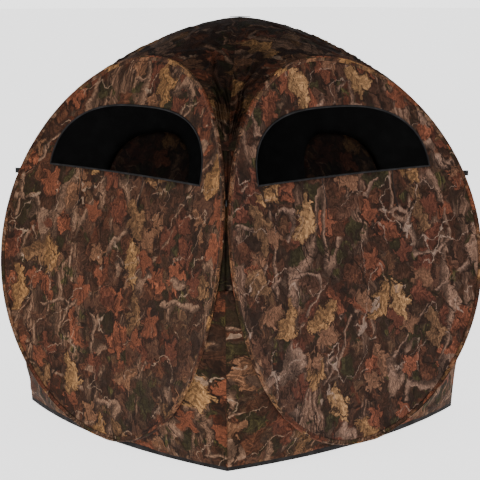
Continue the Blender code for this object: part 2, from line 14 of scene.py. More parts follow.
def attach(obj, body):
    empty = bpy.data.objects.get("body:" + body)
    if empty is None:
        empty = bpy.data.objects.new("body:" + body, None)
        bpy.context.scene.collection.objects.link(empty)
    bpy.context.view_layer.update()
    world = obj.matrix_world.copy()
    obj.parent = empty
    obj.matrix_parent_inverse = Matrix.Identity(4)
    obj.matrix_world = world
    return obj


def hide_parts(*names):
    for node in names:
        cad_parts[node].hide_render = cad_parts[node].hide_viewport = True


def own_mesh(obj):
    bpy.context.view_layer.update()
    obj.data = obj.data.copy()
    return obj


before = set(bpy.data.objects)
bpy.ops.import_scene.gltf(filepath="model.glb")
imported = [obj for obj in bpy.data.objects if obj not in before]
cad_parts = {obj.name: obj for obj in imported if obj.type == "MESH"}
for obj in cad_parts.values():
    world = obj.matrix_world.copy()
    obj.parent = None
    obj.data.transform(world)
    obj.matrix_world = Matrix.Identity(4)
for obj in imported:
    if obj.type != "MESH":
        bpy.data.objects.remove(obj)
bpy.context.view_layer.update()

# --- Dimensions shared with the CAD source ---
HOOP_HALF_WIDTH = 0.711
HOOP_HALF_HEIGHT = 0.782
WALL_OFFSET = 0.689
LEAN = math.radians(10.8)
SIDE_BOW = 0.060
END_BOW = 0.0705
SLEEVE_RADIAL = 0.009
SLEEVE_WIDTH = 0.015
HOOP_SEGMENTS = 32
FABRIC = 0.0016
HOOP_CENTRE_Z = HOOP_HALF_HEIGHT * math.cos(LEAN) + SLEEVE_RADIAL / 2 + FABRIC
ROOF_HEIGHT = 1.700
ROOF_START = math.radians(35)
ROOF_CURVE = 1.70
ROOF_SEAM_TAPER = 0.9
ROOF_BULGE = 0.034
PEAK_DROP = 0.004
ROOF_CENTRE = Vector((0.0, 0.0, 0.9))
TAPE_FIRST = math.radians(-4.5)
TAPE_LAST = math.radians(36)
TAPE_TUCK = 0.0165
SKIRT_START = math.radians(-4)
BASE_CORNER = 0.660
BASE_BULGE = 0.755
HEM_HEIGHT = 0.020
SEAM_TUCK = 0.010
SKIRT_TUCK = 0.020
SKIRT_BEHIND = 0.0105
BIG_WINDOW = (0.495, 0.279, 1.075)
SMALL_WINDOW = (0.228, 0.240, 0.905)
ARCH_POWER_SIDE = 2.75
ARCH_POWER_TOP = 2.4
BINDING = 0.006
FLAP_MARGIN = 0.018
FLAP_BEHIND = 0.012
FLAP_HINGE_DROP = 0.004
FLAP_HINGE_GAP = 0.002
DOOR_HALF_WIDTH = 0.330
DOOR_ARCH_V = -0.255
DOOR_BOTTOM_V = -0.600
DOOR_GAP = 0.005
ZIP_TAPE = 0.012
ZIP_CLEAR = 0.003
ZIP_STAND = 0.0125
ZIP_GAP = 0.001
CORD_DIAMETER = 0.003
CORD_GAP = 0.0013
CORD_SWAY = 0.004
TIE_LOOP_HEIGHT = 1.035
TIE_LOOP_START = -0.006
TIE_LOOP_LENGTH = 0.032
LOOP_WIDTH = 0.022
STAKE_LOOP_LENGTH = 0.036
CORDS = (
    ("front", "left", -0.270, 0.142),
    ("front", "right", 0.120, 0.116),
    ("right", "left", -0.130, 0.160),
    ("right", "right", 0.270, 0.152),
)
WALLS = ("front", "right", "back", "left")
CORNERS = ("front_right", "back_right", "back_left", "front_left")

# --- Detail that only the looks have ---
CLOTH_STEP = 0.017           # spacing of the points inside a sheet
CLOTH_THICKNESS = 0.0012
STRIP_THICKNESS = 0.0010
PATCH_THICKNESS = 0.0008
WELT_THICKNESS = 0.0006
HOOP_STEPS = 288
FERRULE_TURN = 1.5 * math.pi + math.pi / HOOP_SEGMENTS
FERRULE_SWELL = 0.0032       # the sleeve's rise over the ferrule
STRIP_RISE = 0.010           # the corner strip's crest above the CAD tape
STRIP_ROLL = 0.011           # depth of the groove along its middle
ROOF_LAP = 0.0010            # overlap of the gores at their seams
ROOF_CREASE = 0.0105
ROOF_SLACK = 0.006
SKIRT_LAP = 0.0015           # overlap of the lower fabrics at the corner seams
SKIRT_FOLD = 0.005
SKIRT_LONG_FOLD = 0.010      # more fold where the fabric is deep
COVER_SAG = 0.0050
DOOR_LAP = 0.014             # how far the door's free edges reach behind the wall
DOOR_HINGE_LAP = 0.007
DOOR_BEHIND = 0.004
PRINT_SCALE = 0.88           # print units to a metre of cloth
PANEL_SLACK = 0.0032
PANEL_PUCKER = 0.0016        # puckers at the hoop's seam
PANEL_DRAPE = 0.0022         # folds that hang below a window
# Across the sewn edge beside the sleeve: out from the hoop, and off the wall
FLANGE_SECTION = ((-0.0035, 0.0058), (-0.0075, 0.0040), (-0.0125, 0.0030), (-0.0165, 0.0026))
# Across the zip's welt: out from its inner edge, and the share of its full height
WELT_SECTION = (
    (0.0, 0), (0.0004, 1), (0.0035, 1), (0.0037, 0.9),
    (0.0083, 0.9), (0.0085, 1), (0.0116, 1), (ZIP_TAPE, 0),
)
# The peak patch: radius, and drop below the peak
PATCH_PROFILE = (
    (0.0005, 0.0001), (0.012, 0.0003), (0.024, 0.0006), (0.034, 0.0010), (0.0375, 0.0012),
    (0.039, 0.0009), (0.0425, 0.0010), (0.0445, 0.0018), (0.045, 0.0028),
)
# For cloth that would flatten as the walls fold, which crumple does not do: the level it
# would keep to, as a distance outward and a height, and the share of its depth that
# would be left
ROOF_CRUMPLE = (0.60, 1.4, 0.12)
SKIRT_CRUMPLE = (0.70, 0.2, 0.25)
HEM_CRUMPLE = (0.70, 0.0, 0.25)
STRIP_CRUMPLE = (0.72, 0.9, 0.3)


# --- Small sums ---
def signed_power(value, power):
    return math.copysign(abs(value) ** power, value)


def lengths(points):
    """The running length at each point of a row."""
    runs = [0.0]
    for a, b in zip(points, points[1:]):
        runs.append(runs[-1] + (b - a).length)
    return runs


# --- Geometry of the walls ---
def wall_axes(wall):
    turn = Matrix.Rotation(math.radians(90 * wall), 3, "Z")
    return turn @ Vector((1, 0, 0)), turn @ Vector((0, -1, 0))


def bow(u, v):
    side = SIDE_BOW * (u / HOOP_HALF_WIDTH) ** 2
    return side - END_BOW * (v / HOOP_HALF_HEIGHT) ** 2


def on_wall(wall, u, v, w=0.0):
    along, outward = wall_axes(wall)
    reach = WALL_OFFSET - v * math.sin(LEAN) + bow(u, v) + w * math.cos(LEAN)
    height = HOOP_CENTRE_Z + v * math.cos(LEAN) + w * math.sin(LEAN)
    return along * u + outward * reach + Vector((0, 0, height))


def on_hoop(wall, angle, outward=0.0, w=0.0):
    u = (HOOP_HALF_WIDTH + outward) * math.cos(angle)
    v = (HOOP_HALF_HEIGHT + outward) * math.sin(angle)
    return on_wall(wall, u, v, w)


def slope_v(height):
    return (height - HOOP_CENTRE_Z) / math.cos(LEAN)


def corner_middle(corner, angle):
    mine = on_hoop(corner, angle)
    theirs = on_hoop((corner + 1) % 4, math.pi - angle)
    return (mine + theirs) / 2


def corner_side(wall, turn):
    """The corner that a turn of 0 to 1 along the wall is nearer to, how far it lies
    from there to the middle, the direction to that side, and outward."""
    along, outward = wall_axes(wall)
    if turn < 0.5:
        return wall, 2 * turn, along, outward
    return (wall + 3) % 4, 2 * (1 - turn), -along, outward


def wall_window(wall):
    return BIG_WINDOW if wall < 2 else SMALL_WINDOW


def window_outline(window, grow=0.0, steps=48, sill_steps=30):
    """Flat sill, rounded shoulders and a flat-topped arch, from the right corner."""
    half, height, sill = window
    low = slope_v(sill)
    points = []
    for i in range(steps + 1):
        angle = math.pi * i / steps
        rise = math.sin(angle) ** (2 / ARCH_POWER_TOP) if 0 < i < steps else 0
        u = (half + grow) * signed_power(math.cos(angle), 2 / ARCH_POWER_SIDE)
        points.append((u, low - grow + (height + 2 * grow) * rise))
    for i in range(1, sill_steps):
        u = -half - grow + 2 * (half + grow) * i / sill_steps
        points.append((u, low - grow))
    return points


def door_outline(inset=0.0, steps=56):
    half = DOOR_HALF_WIDTH - inset
    low = DOOR_BOTTOM_V + inset
    points = [(half, low + (DOOR_ARCH_V - low) * i / 16) for i in range(16)]
    for i in range(steps + 1):
        angle = math.pi * i / steps
        points.append((half * math.cos(angle), DOOR_ARCH_V + half * math.sin(angle)))
    points += [(-half, DOOR_ARCH_V + (low - DOOR_ARCH_V) * i / 16) for i in range(1, 17)]
    points += [(-half + 2 * half * i / 24, low) for i in range(1, 24)]
    return points


# --- Relief of slack cloth ---
def rough(x, y, z=0.0):
    return noise.noise(Vector((x, y, z)))


def fade(value, low, high):
    t = min(1.0, max(0.0, (value - low) / (high - low)))
    return t * t * (3 - 2 * t)


def panel_relief(wall, u, v):
    """How far the wall's fabric stands off its smooth saddle, mostly inward."""
    r = math.hypot(u / HOOP_HALF_WIDTH, v / HOOP_HALF_HEIGHT)
    edge = max(0.0, 1 - r) * 0.74
    angle = math.atan2(v, u)
    seed = 7.3 * wall
    slack = -PANEL_SLACK * (0.5 + 0.5 * rough(u * 2.6, v * 1.7, seed)) * fade(edge, 0, 0.2)
    pucker = PANEL_PUCKER * math.exp(-edge / 0.035) * rough(angle * 26, edge * 8, seed + 3)
    pull = rough(angle * 7 + 2 * rough(u * 3, v * 3, seed), r * 1.2, seed + 5)
    pull *= -0.0016 * fade(edge, 0.0, 0.1) * fade(0.45 - edge, 0, 0.4)
    half, _, sill = wall_window(wall)
    low = slope_v(sill)
    under = fade(low - v, 0.0, 0.05) * fade(v - low + 0.42, 0.0, 0.4)
    under *= fade(half + 0.1 - abs(u), 0.0, 0.15)
    drape = -PANEL_DRAPE * under * (0.5 + 0.5 * rough(u * 11, v * 1.1, seed + 8))
    return min(slack + pucker + pull + drape, 0.0012)


# --- Mesh helpers ---
def add_object(name, data):
    obj = bpy.data.objects.new(name, data)
    bpy.context.scene.collection.objects.link(obj)
    return obj


def new_mesh_object(name, points, faces, marks):
    """A smooth mesh. marks are the points' places on the flat cloth."""
    mesh = bpy.data.meshes.new(name)
    mesh.from_pydata([tuple(p) for p in points], [], faces)
    layer = mesh.uv_layers.new(name="cloth")
    for loop in mesh.loops:
        layer.data[loop.index].uv = marks[loop.vertex_index]
    mesh.shade_smooth()
    return add_object(name, mesh)


def inside_loop(u, v, loop):
    hit = False
    for (au, av), (bu, bv) in zip(loop, loop[1:] + loop[:1]):
        if (av > v) != (bv > v) and u < au + (bu - au) * (v - av) / (bv - av):
            hit = not hit
    return hit


def flat_mesh(outer, holes, step):
    """Triangles of a flat sheet with holes, and points about one step apart."""
    coords = [Vector(p) for p in outer]
    edges = [(i, (i + 1) % len(outer)) for i in range(len(outer))]
    for hole in holes:
        start = len(coords)
        coords += [Vector(p) for p in hole]
        count = len(hole)
        edges += [(start + i, start + (i + 1) % count) for i in range(count)]
    rim = list(coords)
    low_u, high_u = min(p[0] for p in outer), max(p[0] for p in outer)
    low_v, high_v = min(p[1] for p in outer), max(p[1] for p in outer)
    near = {}
    for p in rim:
        near.setdefault((int(p.x // step), int(p.y // step)), []).append(p)
    row = 0
    v = low_v
    while v < high_v:
        u = low_u + (step / 2 if row % 2 else 0.0)
        while u < high_u:
            key = (int(u // step), int(v // step))
            around = [
                p
                for i in (-1, 0, 1)
                for j in (-1, 0, 1)
                for p in near.get((key[0] + i, key[1] + j), [])
            ]
            clear = all((p - Vector((u, v))).length > 0.6 * step for p in around)
            if clear and inside_loop(u, v, outer):
                if not any(inside_loop(u, v, hole) for hole in holes):
                    coords.append(Vector((u, v)))
            u += step
        v += step * 0.87
        row += 1
    verts, _, faces, *_ = geometry.delaunay_2d_cdt(coords, edges, [], 0, 1e-6)
    kept = []
    for face in faces:
        cu = sum(verts[i].x for i in face) / len(face)
        cv = sum(verts[i].y for i in face) / len(face)
        if inside_loop(cu, cv, outer):
            if not any(inside_loop(cu, cv, hole) for hole in holes):
                kept.append(list(face))
    return [(p.x, p.y) for p in verts], kept


def grid_object(name, rows):
    """A mesh from rows of points, each with its place on the flat cloth."""
    columns = len(rows[0])
    faces = []
    for i in range(len(rows) - 1):
        for j in range(columns - 1):
            a, b = i * columns + j, (i + 1) * columns + j
            faces.append([a, a + 1, b + 1, b])
    points = [point for row in rows for point, _ in row]
    return new_mesh_object(name, points, faces, [mark for row in rows for _, mark in row])


def thicken(obj, thickness, lined=False, offset=-1.0):
    shell = obj.modifiers.new("thickness", "SOLIDIFY")
    shell.thickness = thickness
    shell.offset = offset
    shell.use_even_offset = False
    shell.material_offset = 1 if lined else 0
    shell.material_offset_rim = 0


def face_out(obj, outward):
    """Turn the faces so that their normals agree with a direction on the whole."""
    total = Vector((0, 0, 0))
    for polygon in obj.data.polygons:
        total += polygon.normal * polygon.area
    if total.dot(outward) < 0:
        obj.data.flip_normals()


def face_away(obj, place):
    """Turn the faces of a tube so that the first one points away from its middle line."""
    first = obj.data.polygons[0]
    if first.normal.dot(first.center - place) < 0:
        obj.data.flip_normals()


def dress(obj, *materials):
    for material in materials:
        obj.data.materials.append(material)


def settle(obj, body, slot, *nodes):
    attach(obj, body)
    if nodes:
        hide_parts(*nodes)


def finish_cloth(obj, outward, materials, thickness, body, slot, *nodes):
    """Face, dress, thicken and settle a sheet. A second material lines it."""
    face_out(obj, outward)
    dress(obj, *materials)
    thicken(obj, thickness, lined=len(materials) > 1)
    settle(obj, body, slot, *nodes)


def crumple(obj, wall, reach, height, keep):
    """Give the piece its own copy of its mesh; it is not flattened against its wall."""
    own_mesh(obj)


def round_curve(name, points, radius):
    """A round black cord through the points."""
    curve = bpy.data.curves.new(name, "CURVE")
    curve.dimensions = "3D"
    curve.bevel_depth = radius
    curve.bevel_resolution = 3
    spline = curve.splines.new("POLY")
    spline.points.add(len(points) - 1)
    for knot, place in zip(spline.points, points):
        knot.co = (*place, 1.0)
    curve.materials.append(CORD_BLACK)
    return add_object(name, curve)


# --- Node helpers ---
class Net:
    """Short ways to add shader nodes. A value is a number or a socket."""

    def __init__(self, tree):
        self.tree = tree

    def add(self, kind, **settings):
        node = self.tree.nodes.new(kind)
        for name, value in settings.items():
            setattr(node, name, value)
        return node

    def feed(self, socket, value):
        if isinstance(value, bpy.types.NodeSocket):
            self.tree.links.new(value, socket)
        else:
            socket.default_value = value

    def math(self, operation, a, b=0.0, c=0.0):
        node = self.add("ShaderNodeMath", operation=operation)
        for socket, value in zip(node.inputs, (a, b, c)):
            self.feed(socket, value)
        return node.outputs[0]

    def plus(self, a, b):
        return self.math("ADD", a, b)

    def minus(self, a, b):
        return self.math("SUBTRACT", a, b)

    def times(self, a, b):
        return self.math("MULTIPLY", a, b)

    def scale_add(self, value, scale, extra):
        return self.math("MULTIPLY_ADD", value, scale, extra)

    def size(self, value):
        return self.math("ABSOLUTE", value)

    def sine(self, value):
        return self.math("SINE", value)

    def cosine(self, value):
        return self.math("COSINE", value)

    def vector(self, operation, a, b=(0, 0, 0)):
        node = self.add("ShaderNodeVectorMath", operation=operation)
        self.feed(node.inputs[0], a)
        if operation == "SCALE":
            self.feed(node.inputs["Scale"], b)
        else:
            self.feed(node.inputs[1], b)
        return node.outputs[0]

    def shift(self, vector, by):
        return self.vector("ADD", vector, (*by, 0.0))

    def stretch(self, vector, share):
        """Marks become longer in y by 1 / share."""
        return self.vector("MULTIPLY", vector, (1.0, share, 1))

    def split(self, vector):
        node = self.add("ShaderNodeSeparateXYZ")
        self.feed(node.inputs[0], vector)
        return node.outputs

    def join(self, x, y, z=0.0):
        node = self.add("ShaderNodeCombineXYZ")
        for socket, value in zip(node.inputs, (x, y, z)):
            self.feed(socket, value)
        return node.outputs[0]

    def step(self, value, low, high):
        node = self.add("ShaderNodeMapRange", interpolation_type="SMOOTHSTEP")
        self.feed(node.inputs["Value"], value)
        self.feed(node.inputs["From Min"], low)
        self.feed(node.inputs["From Max"], high)
        return node.outputs[0]

    def mix(self, factor, a, b, blend="MIX"):
        node = self.add("ShaderNodeMix", data_type="RGBA", blend_type=blend)
        self.feed(node.inputs[0], factor)
        for socket, value in ((node.inputs[6], a), (node.inputs[7], b)):
            self.feed(socket, (*value, 1.0) if isinstance(value, tuple) else value)
        return node.outputs[2]

    def shade(self, colour, level):
        return self.mix(1.0, colour, self.join(level, level, level), "MULTIPLY")

    def ramp(self, value, stops, mode="LINEAR"):
        node = self.add("ShaderNodeValToRGB")
        node.color_ramp.interpolation = mode
        self.feed(node.inputs[0], value)
        items = node.color_ramp.elements
        while len(items) > len(stops):
            items.remove(items[-1])
        while len(items) < len(stops):
            items.new(1.0)
        for item, (place, colour) in zip(items, stops):
            item.position = place
            item.color = (*colour, 1.0)
        return node.outputs[0]

    def noise(self, vector, scale, detail=2.0, roughness=0.5):
        node = self.add("ShaderNodeTexNoise", noise_dimensions="2D")
        self.feed(node.inputs["Vector"], vector)
        node.inputs["Scale"].default_value = scale
        node.inputs["Detail"].default_value = detail
        node.inputs["Roughness"].default_value = roughness
        return node.outputs["Fac"]

    def cells(self, vector, scale):
        node = self.add("ShaderNodeTexVoronoi", voronoi_dimensions="2D")
        self.feed(node.inputs["Vector"], vector)
        node.inputs["Scale"].default_value = scale
        return node.outputs

    def turn(self, vector, angle):
        node = self.add("ShaderNodeVectorRotate", rotation_type="Z_AXIS")
        self.feed(node.inputs["Vector"], vector)
        self.feed(node.inputs["Angle"], angle)
        return node.outputs[0]

    def bump(self, height, strength, distance):
        node = self.add("ShaderNodeBump")
        node.inputs["Strength"].default_value = strength
        node.inputs["Distance"].default_value = distance
        self.feed(node.inputs["Height"], height)
        return node.outputs[0]


# --- The printed pattern: litter, bark, limbs, leaves and shade ---
def cell_place(net, cloth, shift, scale, swing, lean):
    """Local coordinates in each cell, turned by a random angle, and three of
    the cell's random numbers."""
    moved = net.shift(cloth, shift)
    cell = net.cells(moved, scale)
    local = net.vector("SUBTRACT", moved, cell["Position"])
    pick = net.split(cell["Color"])
    angle = net.scale_add(pick[0], swing, lean)
    return net.turn(local, angle), pick


def leaf_place(net, cloth, shift, scale, size, swing, lean):
    """Local coordinates in units of a leaf's size, and the random numbers."""
    place, pick = cell_place(net, cloth, shift, scale, swing, lean)
    x, y, _ = net.split(place)
    return net.math("DIVIDE", x, size), net.math("DIVIDE", y, size), pick


def litter(net, cloth, shift, scale, stops):
    """Patches of fine fibres, each patch with its own direction and tone."""
    place, pick = cell_place(net, cloth, shift, scale, 2.4, -1.2)
    fibre = net.noise(net.stretch(place, 0.13), 210.0, 4.0, 0.65)
    lump = net.noise(cloth, 45.0, 3.0, 0.6)
    level = net.scale_add(lump, 0.9, net.scale_add(fibre, 1.5, -0.72))
    paint = net.ramp(pick[1], stops, "CONSTANT")
    level = net.math("MAXIMUM", level, 0.06)
    return net.shade(paint, level)


def limbs(net, cloth, shift, stretch, turn, scale, width, gaps):
    """Long crooked sticks along a level line of a smooth noise: their mask, and how
    far across the stick a point lies, from -1 to 1."""
    place = net.shift(net.turn(cloth, turn), shift)
    level = net.noise(net.stretch(place, stretch), scale, 1.0, 0.4)
    across = net.math("DIVIDE", net.minus(level, 0.5), width)
    ragged = net.scale_add(net.noise(cloth, 90.0, 2.0), 0.7, -0.35)
    across = net.plus(across, ragged)
    mask = net.step(net.size(across), 1.0, 0.82)
    cut = net.noise(net.shift(cloth, shift), 5.5, 2.0)
    return net.times(mask, net.step(cut, gaps, gaps + 0.015)), across


def lobed_leaf(net, cloth, shift, scale, size, chance):
    """A leaf with five lobes. Returns its mask, its shade, a random number
    and the shadow round it."""
    x, y, pick = leaf_place(net, cloth, shift, scale, size, 6.283, 0.0)
    radius = net.math("SQRT", net.plus(net.times(x, x), net.times(y, y)))
    angle = net.math("ARCTAN2", y, x)
    lobes = net.cosine(net.times(angle, 5.0))
    reach = net.scale_add(lobes, 0.17, 0.62)
    reach = net.scale_add(net.cosine(angle), 0.22, reach)
    ragged = net.noise(cloth, 75.0, 3.0, 0.65)
    reach = net.scale_add(ragged, 0.80, net.minus(reach, 0.40))
    inside = net.minus(reach, radius)
    here = net.math("LESS_THAN", pick[1], chance)
    mask = net.times(net.step(inside, -0.05, 0.13), here)
    vein = net.size(net.sine(net.times(angle, 2.5)))
    vein = net.step(net.times(vein, radius), 0.0, 0.09)
    ray = net.sine(net.scale_add(radius, -9.0, net.times(angle, 15.0)))
    shade = net.scale_add(ray, 0.16, 0.70)
    shade = net.times(shade, net.scale_add(vein, 0.45, 0.55))
    shade = net.scale_add(radius, 0.35, shade)
    shadow = net.times(net.step(inside, -0.35, 0.0), here)
    return mask, shade, pick[2], shadow


def long_leaf(net, cloth, shift, scale, size, chance, swing=6.283, lean=0.0):
    """A long curled leaf with a wavy edge and slanting side veins."""
    x, y, pick = leaf_place(net, cloth, shift, scale, size, swing, lean)
    y = net.scale_add(net.times(x, x), 0.35, y)
    arch = net.minus(1.0, net.times(x, x))
    wave = net.cosine(net.times(x, 8.0))
    width = net.times(arch, net.scale_add(wave, 0.10, 0.42))
    ragged = net.noise(cloth, 95.0, 3.0, 0.65)
    width = net.scale_add(ragged, 0.60, net.minus(width, 0.30))
    across = net.size(y)
    inside = net.minus(width, across)
    here = net.math("LESS_THAN", pick[1], chance)
    mask = net.times(net.step(inside, -0.04, 0.09), here)
    rib = net.step(across, 0.0, 0.05)
    slant = net.scale_add(across, -21.0, net.times(x, 23.0))
    slant = net.scale_add(ragged, 9.0, slant)
    side = net.step(net.sine(slant), -0.9, 0.8)
    shade = net.scale_add(side, 0.45, 0.50)
    shade = net.times(shade, net.scale_add(rib, 0.45, 0.55))
    half = net.step(y, -0.06, 0.06)
    shade = net.times(shade, net.scale_add(half, 0.45, 0.75))
    shadow = net.times(net.step(inside, -0.25, 0.0), here)
    return mask, shade, pick[2], shadow


def autumn_woods():
    """The print as a node group: a point on the cloth in metres to a colour."""
    tree = bpy.data.node_groups.new("autumn_woods", "ShaderNodeTree")
    sockets = tree.interface
    sockets.new_socket("Cloth", in_out="INPUT", socket_type="NodeSocketVector")
    sockets.new_socket("Colour", in_out="OUTPUT", socket_type="NodeSocketColor")
    net = Net(tree)
    source = net.vector("SCALE", net.add("NodeGroupInput").outputs[0], PRINT_SCALE)

    def wandered(base, scale, reach):
        aside = net.noise(net.shift(base, (7.0, 3.0)), scale, 3.0)
        drift = net.vector("SUBTRACT", net.join(net.noise(base, scale, 3.0), aside), (0.5, 0.5, 0))
        return net.vector("ADD", base, net.vector("SCALE", drift, reach))

    calm = wandered(source, 9.0, 0.075)
    cloth = wandered(wandered(source, 22.0, 0.050), 75.0, 0.014)

    colour = litter(net, cloth, (0.9, 2.3), 11.0, [
        (0.0, (0.095, 0.050, 0.029)),
        (0.22, (0.150, 0.062, 0.034)),
        (0.40, (0.060, 0.034, 0.022)),
        (0.58, (0.120, 0.078, 0.050)),
        (0.76, (0.048, 0.040, 0.018)),
        (0.88, (0.185, 0.095, 0.052)),
    ])
    over = litter(net, cloth, (4.7, 8.3), 16.0, [
        (0.0, (0.062, 0.036, 0.024)),
        (0.30, (0.135, 0.090, 0.062)),
        (0.52, (0.175, 0.058, 0.030)),
        (0.74, (0.055, 0.050, 0.022)),
        (0.86, (0.225, 0.135, 0.078)),
    ])
    patch = net.noise(net.shift(cloth, (6.0, 1.0)), 21.0, 3.0, 0.6)
    colour = net.mix(net.step(patch, 0.49, 0.53), colour, over)

    grain = net.noise(net.stretch(calm, 0.07), 130.0, 4.0, 0.65)
    deep_shade = net.noise(net.stretch(cloth, 0.6), 12.0, 5.0, 0.6)
    deep_shade = net.step(deep_shade, 0.56, 0.44)
    colour = net.mix(net.times(deep_shade, 0.60), colour, (0.022, 0.011, 0.007))

    trunk = net.noise(net.stretch(calm, 0.22), 6.0, 2.0, 0.45)
    bark = net.ramp(grain, [
        (0.32, (0.030, 0.018, 0.013)),
        (0.46, (0.100, 0.060, 0.040)),
        (0.60, (0.200, 0.128, 0.088)),
        (0.74, (0.300, 0.205, 0.150)),
    ])
    girth = net.scale_add(net.step(trunk, 0.550, 0.64), 0.75, 0.40)
    bark = net.shade(bark, girth)
    colour = net.mix(net.step(trunk, 0.545, 0.570), colour, bark)

    olive = net.noise(net.shift(cloth, (3.1, 9.7)), 11.0, 4.0, 0.65)
    green = net.mix(net.step(grain, 0.38, 0.66), (0.012, 0.014, 0.006), (0.088, 0.082, 0.030))
    colour = net.mix(net.step(olive, 0.605, 0.650), colour, green)

    def lay(layer, stops, colour, deep=0.6):
        mask, shade, tone, shadow = layer
        under = net.times(shadow, deep)
        colour = net.mix(under, colour, (0.011, 0.006, 0.004))
        paint = net.ramp(tone, stops, "CONSTANT")
        paint = net.shade(paint, shade)
        return net.mix(mask, colour, paint)

    def sticks(colour, layer, pale):
        mask, across = layer
        place = net.scale_add(across, 0.5, 0.5)
        round_shade = net.ramp(place, [
            (0.0, tuple(c * 0.10 for c in pale)),
            (0.30, tuple(c * 0.38 for c in pale)),
            (0.68, pale),
            (1.0, tuple(c * 0.45 for c in pale)),
        ])
        knots = net.scale_add(net.noise(cloth, 110.0, 4.0, 0.65), 2.0, -0.10)
        round_shade = net.shade(round_shade, knots)
        return net.mix(mask, colour, round_shade)

    dark = [(0.0, (0.070, 0.034, 0.020)), (0.4, (0.046, 0.044, 0.018)), (0.7, (0.115, 0.050, 0.028))]
    rust = [
        (0.0, (0.205, 0.076, 0.042)),
        (0.28, (0.140, 0.052, 0.032)),
        (0.50, (0.270, 0.100, 0.055)),
        (0.64, (0.105, 0.054, 0.034)),
        (0.82, (0.220, 0.120, 0.070)),
    ]
    tan = [(0.0, (0.340, 0.200, 0.090)), (0.35, (0.210, 0.125, 0.065)), (0.6, (0.430, 0.265, 0.125))]
    colour = lay(long_leaf(net, cloth, (1.7, 0.4), 12.0, 0.075, 0.60), dark, colour)
    colour = lay(lobed_leaf(net, cloth, (0.3, 6.1), 7.5, 0.078, 0.46), rust, colour)
    boughs = limbs(net, calm, (2.2, 2.2), 0.30, 0.30, 4.6, 0.030, 0.455)
    colour = sticks(colour, boughs, (0.275, 0.178, 0.125))
    colour = lay(long_leaf(net, cloth, (5.2, 2.8), 8.5, 0.085, 0.36), rust, colour)
    saplings = limbs(net, calm, (6.4, 1.1), 0.40, 1.20, 4.0, 0.022, 0.490)
    colour = sticks(colour, saplings, (0.300, 0.200, 0.145))
    colour = lay(long_leaf(net, cloth, (8.8, 4.1), 6.2, 0.100, 0.30, 2.2, 0.5), tan, colour, 0.8)
    colour = lay(lobed_leaf(net, cloth, (4.4, 0.9), 7.0, 0.060, 0.22), rust, colour, 0.8)
    twig, _ = limbs(net, cloth, (9.1, 7.7), 0.6, 0.7, 8.0, 0.0070, 0.50)
    colour = net.mix(net.times(twig, 0.75), colour, (0.330, 0.255, 0.200))
    crack, _ = limbs(net, cloth, (3.3, 5.9), 0.4, -0.4, 9.0, 0.013, 0.42)
    colour = net.mix(net.times(crack, 0.85), colour, (0.010, 0.006, 0.004))

    fleck = net.noise(net.stretch(cloth, 0.30), 240.0, 3.0, 0.7)
    fleck = net.scale_add(fleck, 2.9, -0.47)
    fleck = net.times(fleck, net.scale_add(grain, 0.9, 0.55))
    colour = net.shade(colour, fleck)
    colour = net.mix(0.08, colour, (0.085, 0.040, 0.022))
    net.feed(net.add("NodeGroupOutput").inputs[0], colour)
    return tree


PRINT = autumn_woods()


def new_material(name):
    material = bpy.data.materials.new(name)
    material.use_nodes = True
    tree = material.node_tree
    return material, Net(tree), tree.nodes["Principled BSDF"]


def cloth_material(name):
    material, net, shader = new_material(name)
    cloth = net.add("ShaderNodeUVMap", uv_map="cloth").outputs[0]
    return material, net, shader, cloth


def weave(net, cloth, pitch, strength, shader, extra=None):
    """Crossing threads and slight slubs, as a bump."""
    x, y, _ = net.split(cloth)
    turn = 2 * math.pi / pitch
    warp = net.sine(net.times(x, turn))
    weft = net.sine(net.times(y, turn))
    height = net.times(warp, weft)
    slub = net.noise(cloth, 420.0, 3.0, 0.6)
    height = net.scale_add(slub, 1.5, height)
    if extra is not None:
        height = net.plus(height, extra)
    net.feed(shader.inputs["Normal"], net.bump(height, strength, 0.0004))


def printed_cloth(name, gain, tint=(1.0, 1.0, 1.0), shift=(0.0, 0.0), roughness=0.82, stitch=False):
    """Printed polyester. gain is how light the print is."""
    material, net, shader, cloth = cloth_material(name)
    group = net.add("ShaderNodeGroup", node_tree=PRINT)
    net.feed(group.inputs[0], net.shift(cloth, shift))
    level = tuple(gain * c for c in tint)
    colour = net.mix(1.0, group.outputs[0], level, "MULTIPLY")
    fading = net.noise(cloth, 2.2, 2.0)
    fading = net.scale_add(fading, 0.5, 0.75)
    colour = net.shade(colour, fading)
    ridge = None
    if stitch:
        x, y, _ = net.split(cloth)
        run = net.math("PINGPONG", x, 0.002)
        run = net.step(run, 0.0004, 0.0008)
        row = net.step(net.size(net.minus(y, stitch)), 0.0012, 0.0006)
        thread = net.times(run, row)
        colour = net.mix(net.times(thread, 0.6), colour, (0.03, 0.02, 0.015))
        ridge = net.times(thread, 3.0)
    net.feed(shader.inputs["Base Color"], colour)
    rough_map = net.scale_add(net.noise(cloth, 30.0, 2.0), 0.16, roughness - 0.08)
    net.feed(shader.inputs["Roughness"], rough_map)
    shader.inputs["Specular IOR Level"].default_value = 0.10
    weave(net, cloth, 0.0016, 0.35, shader, ridge)
    return material


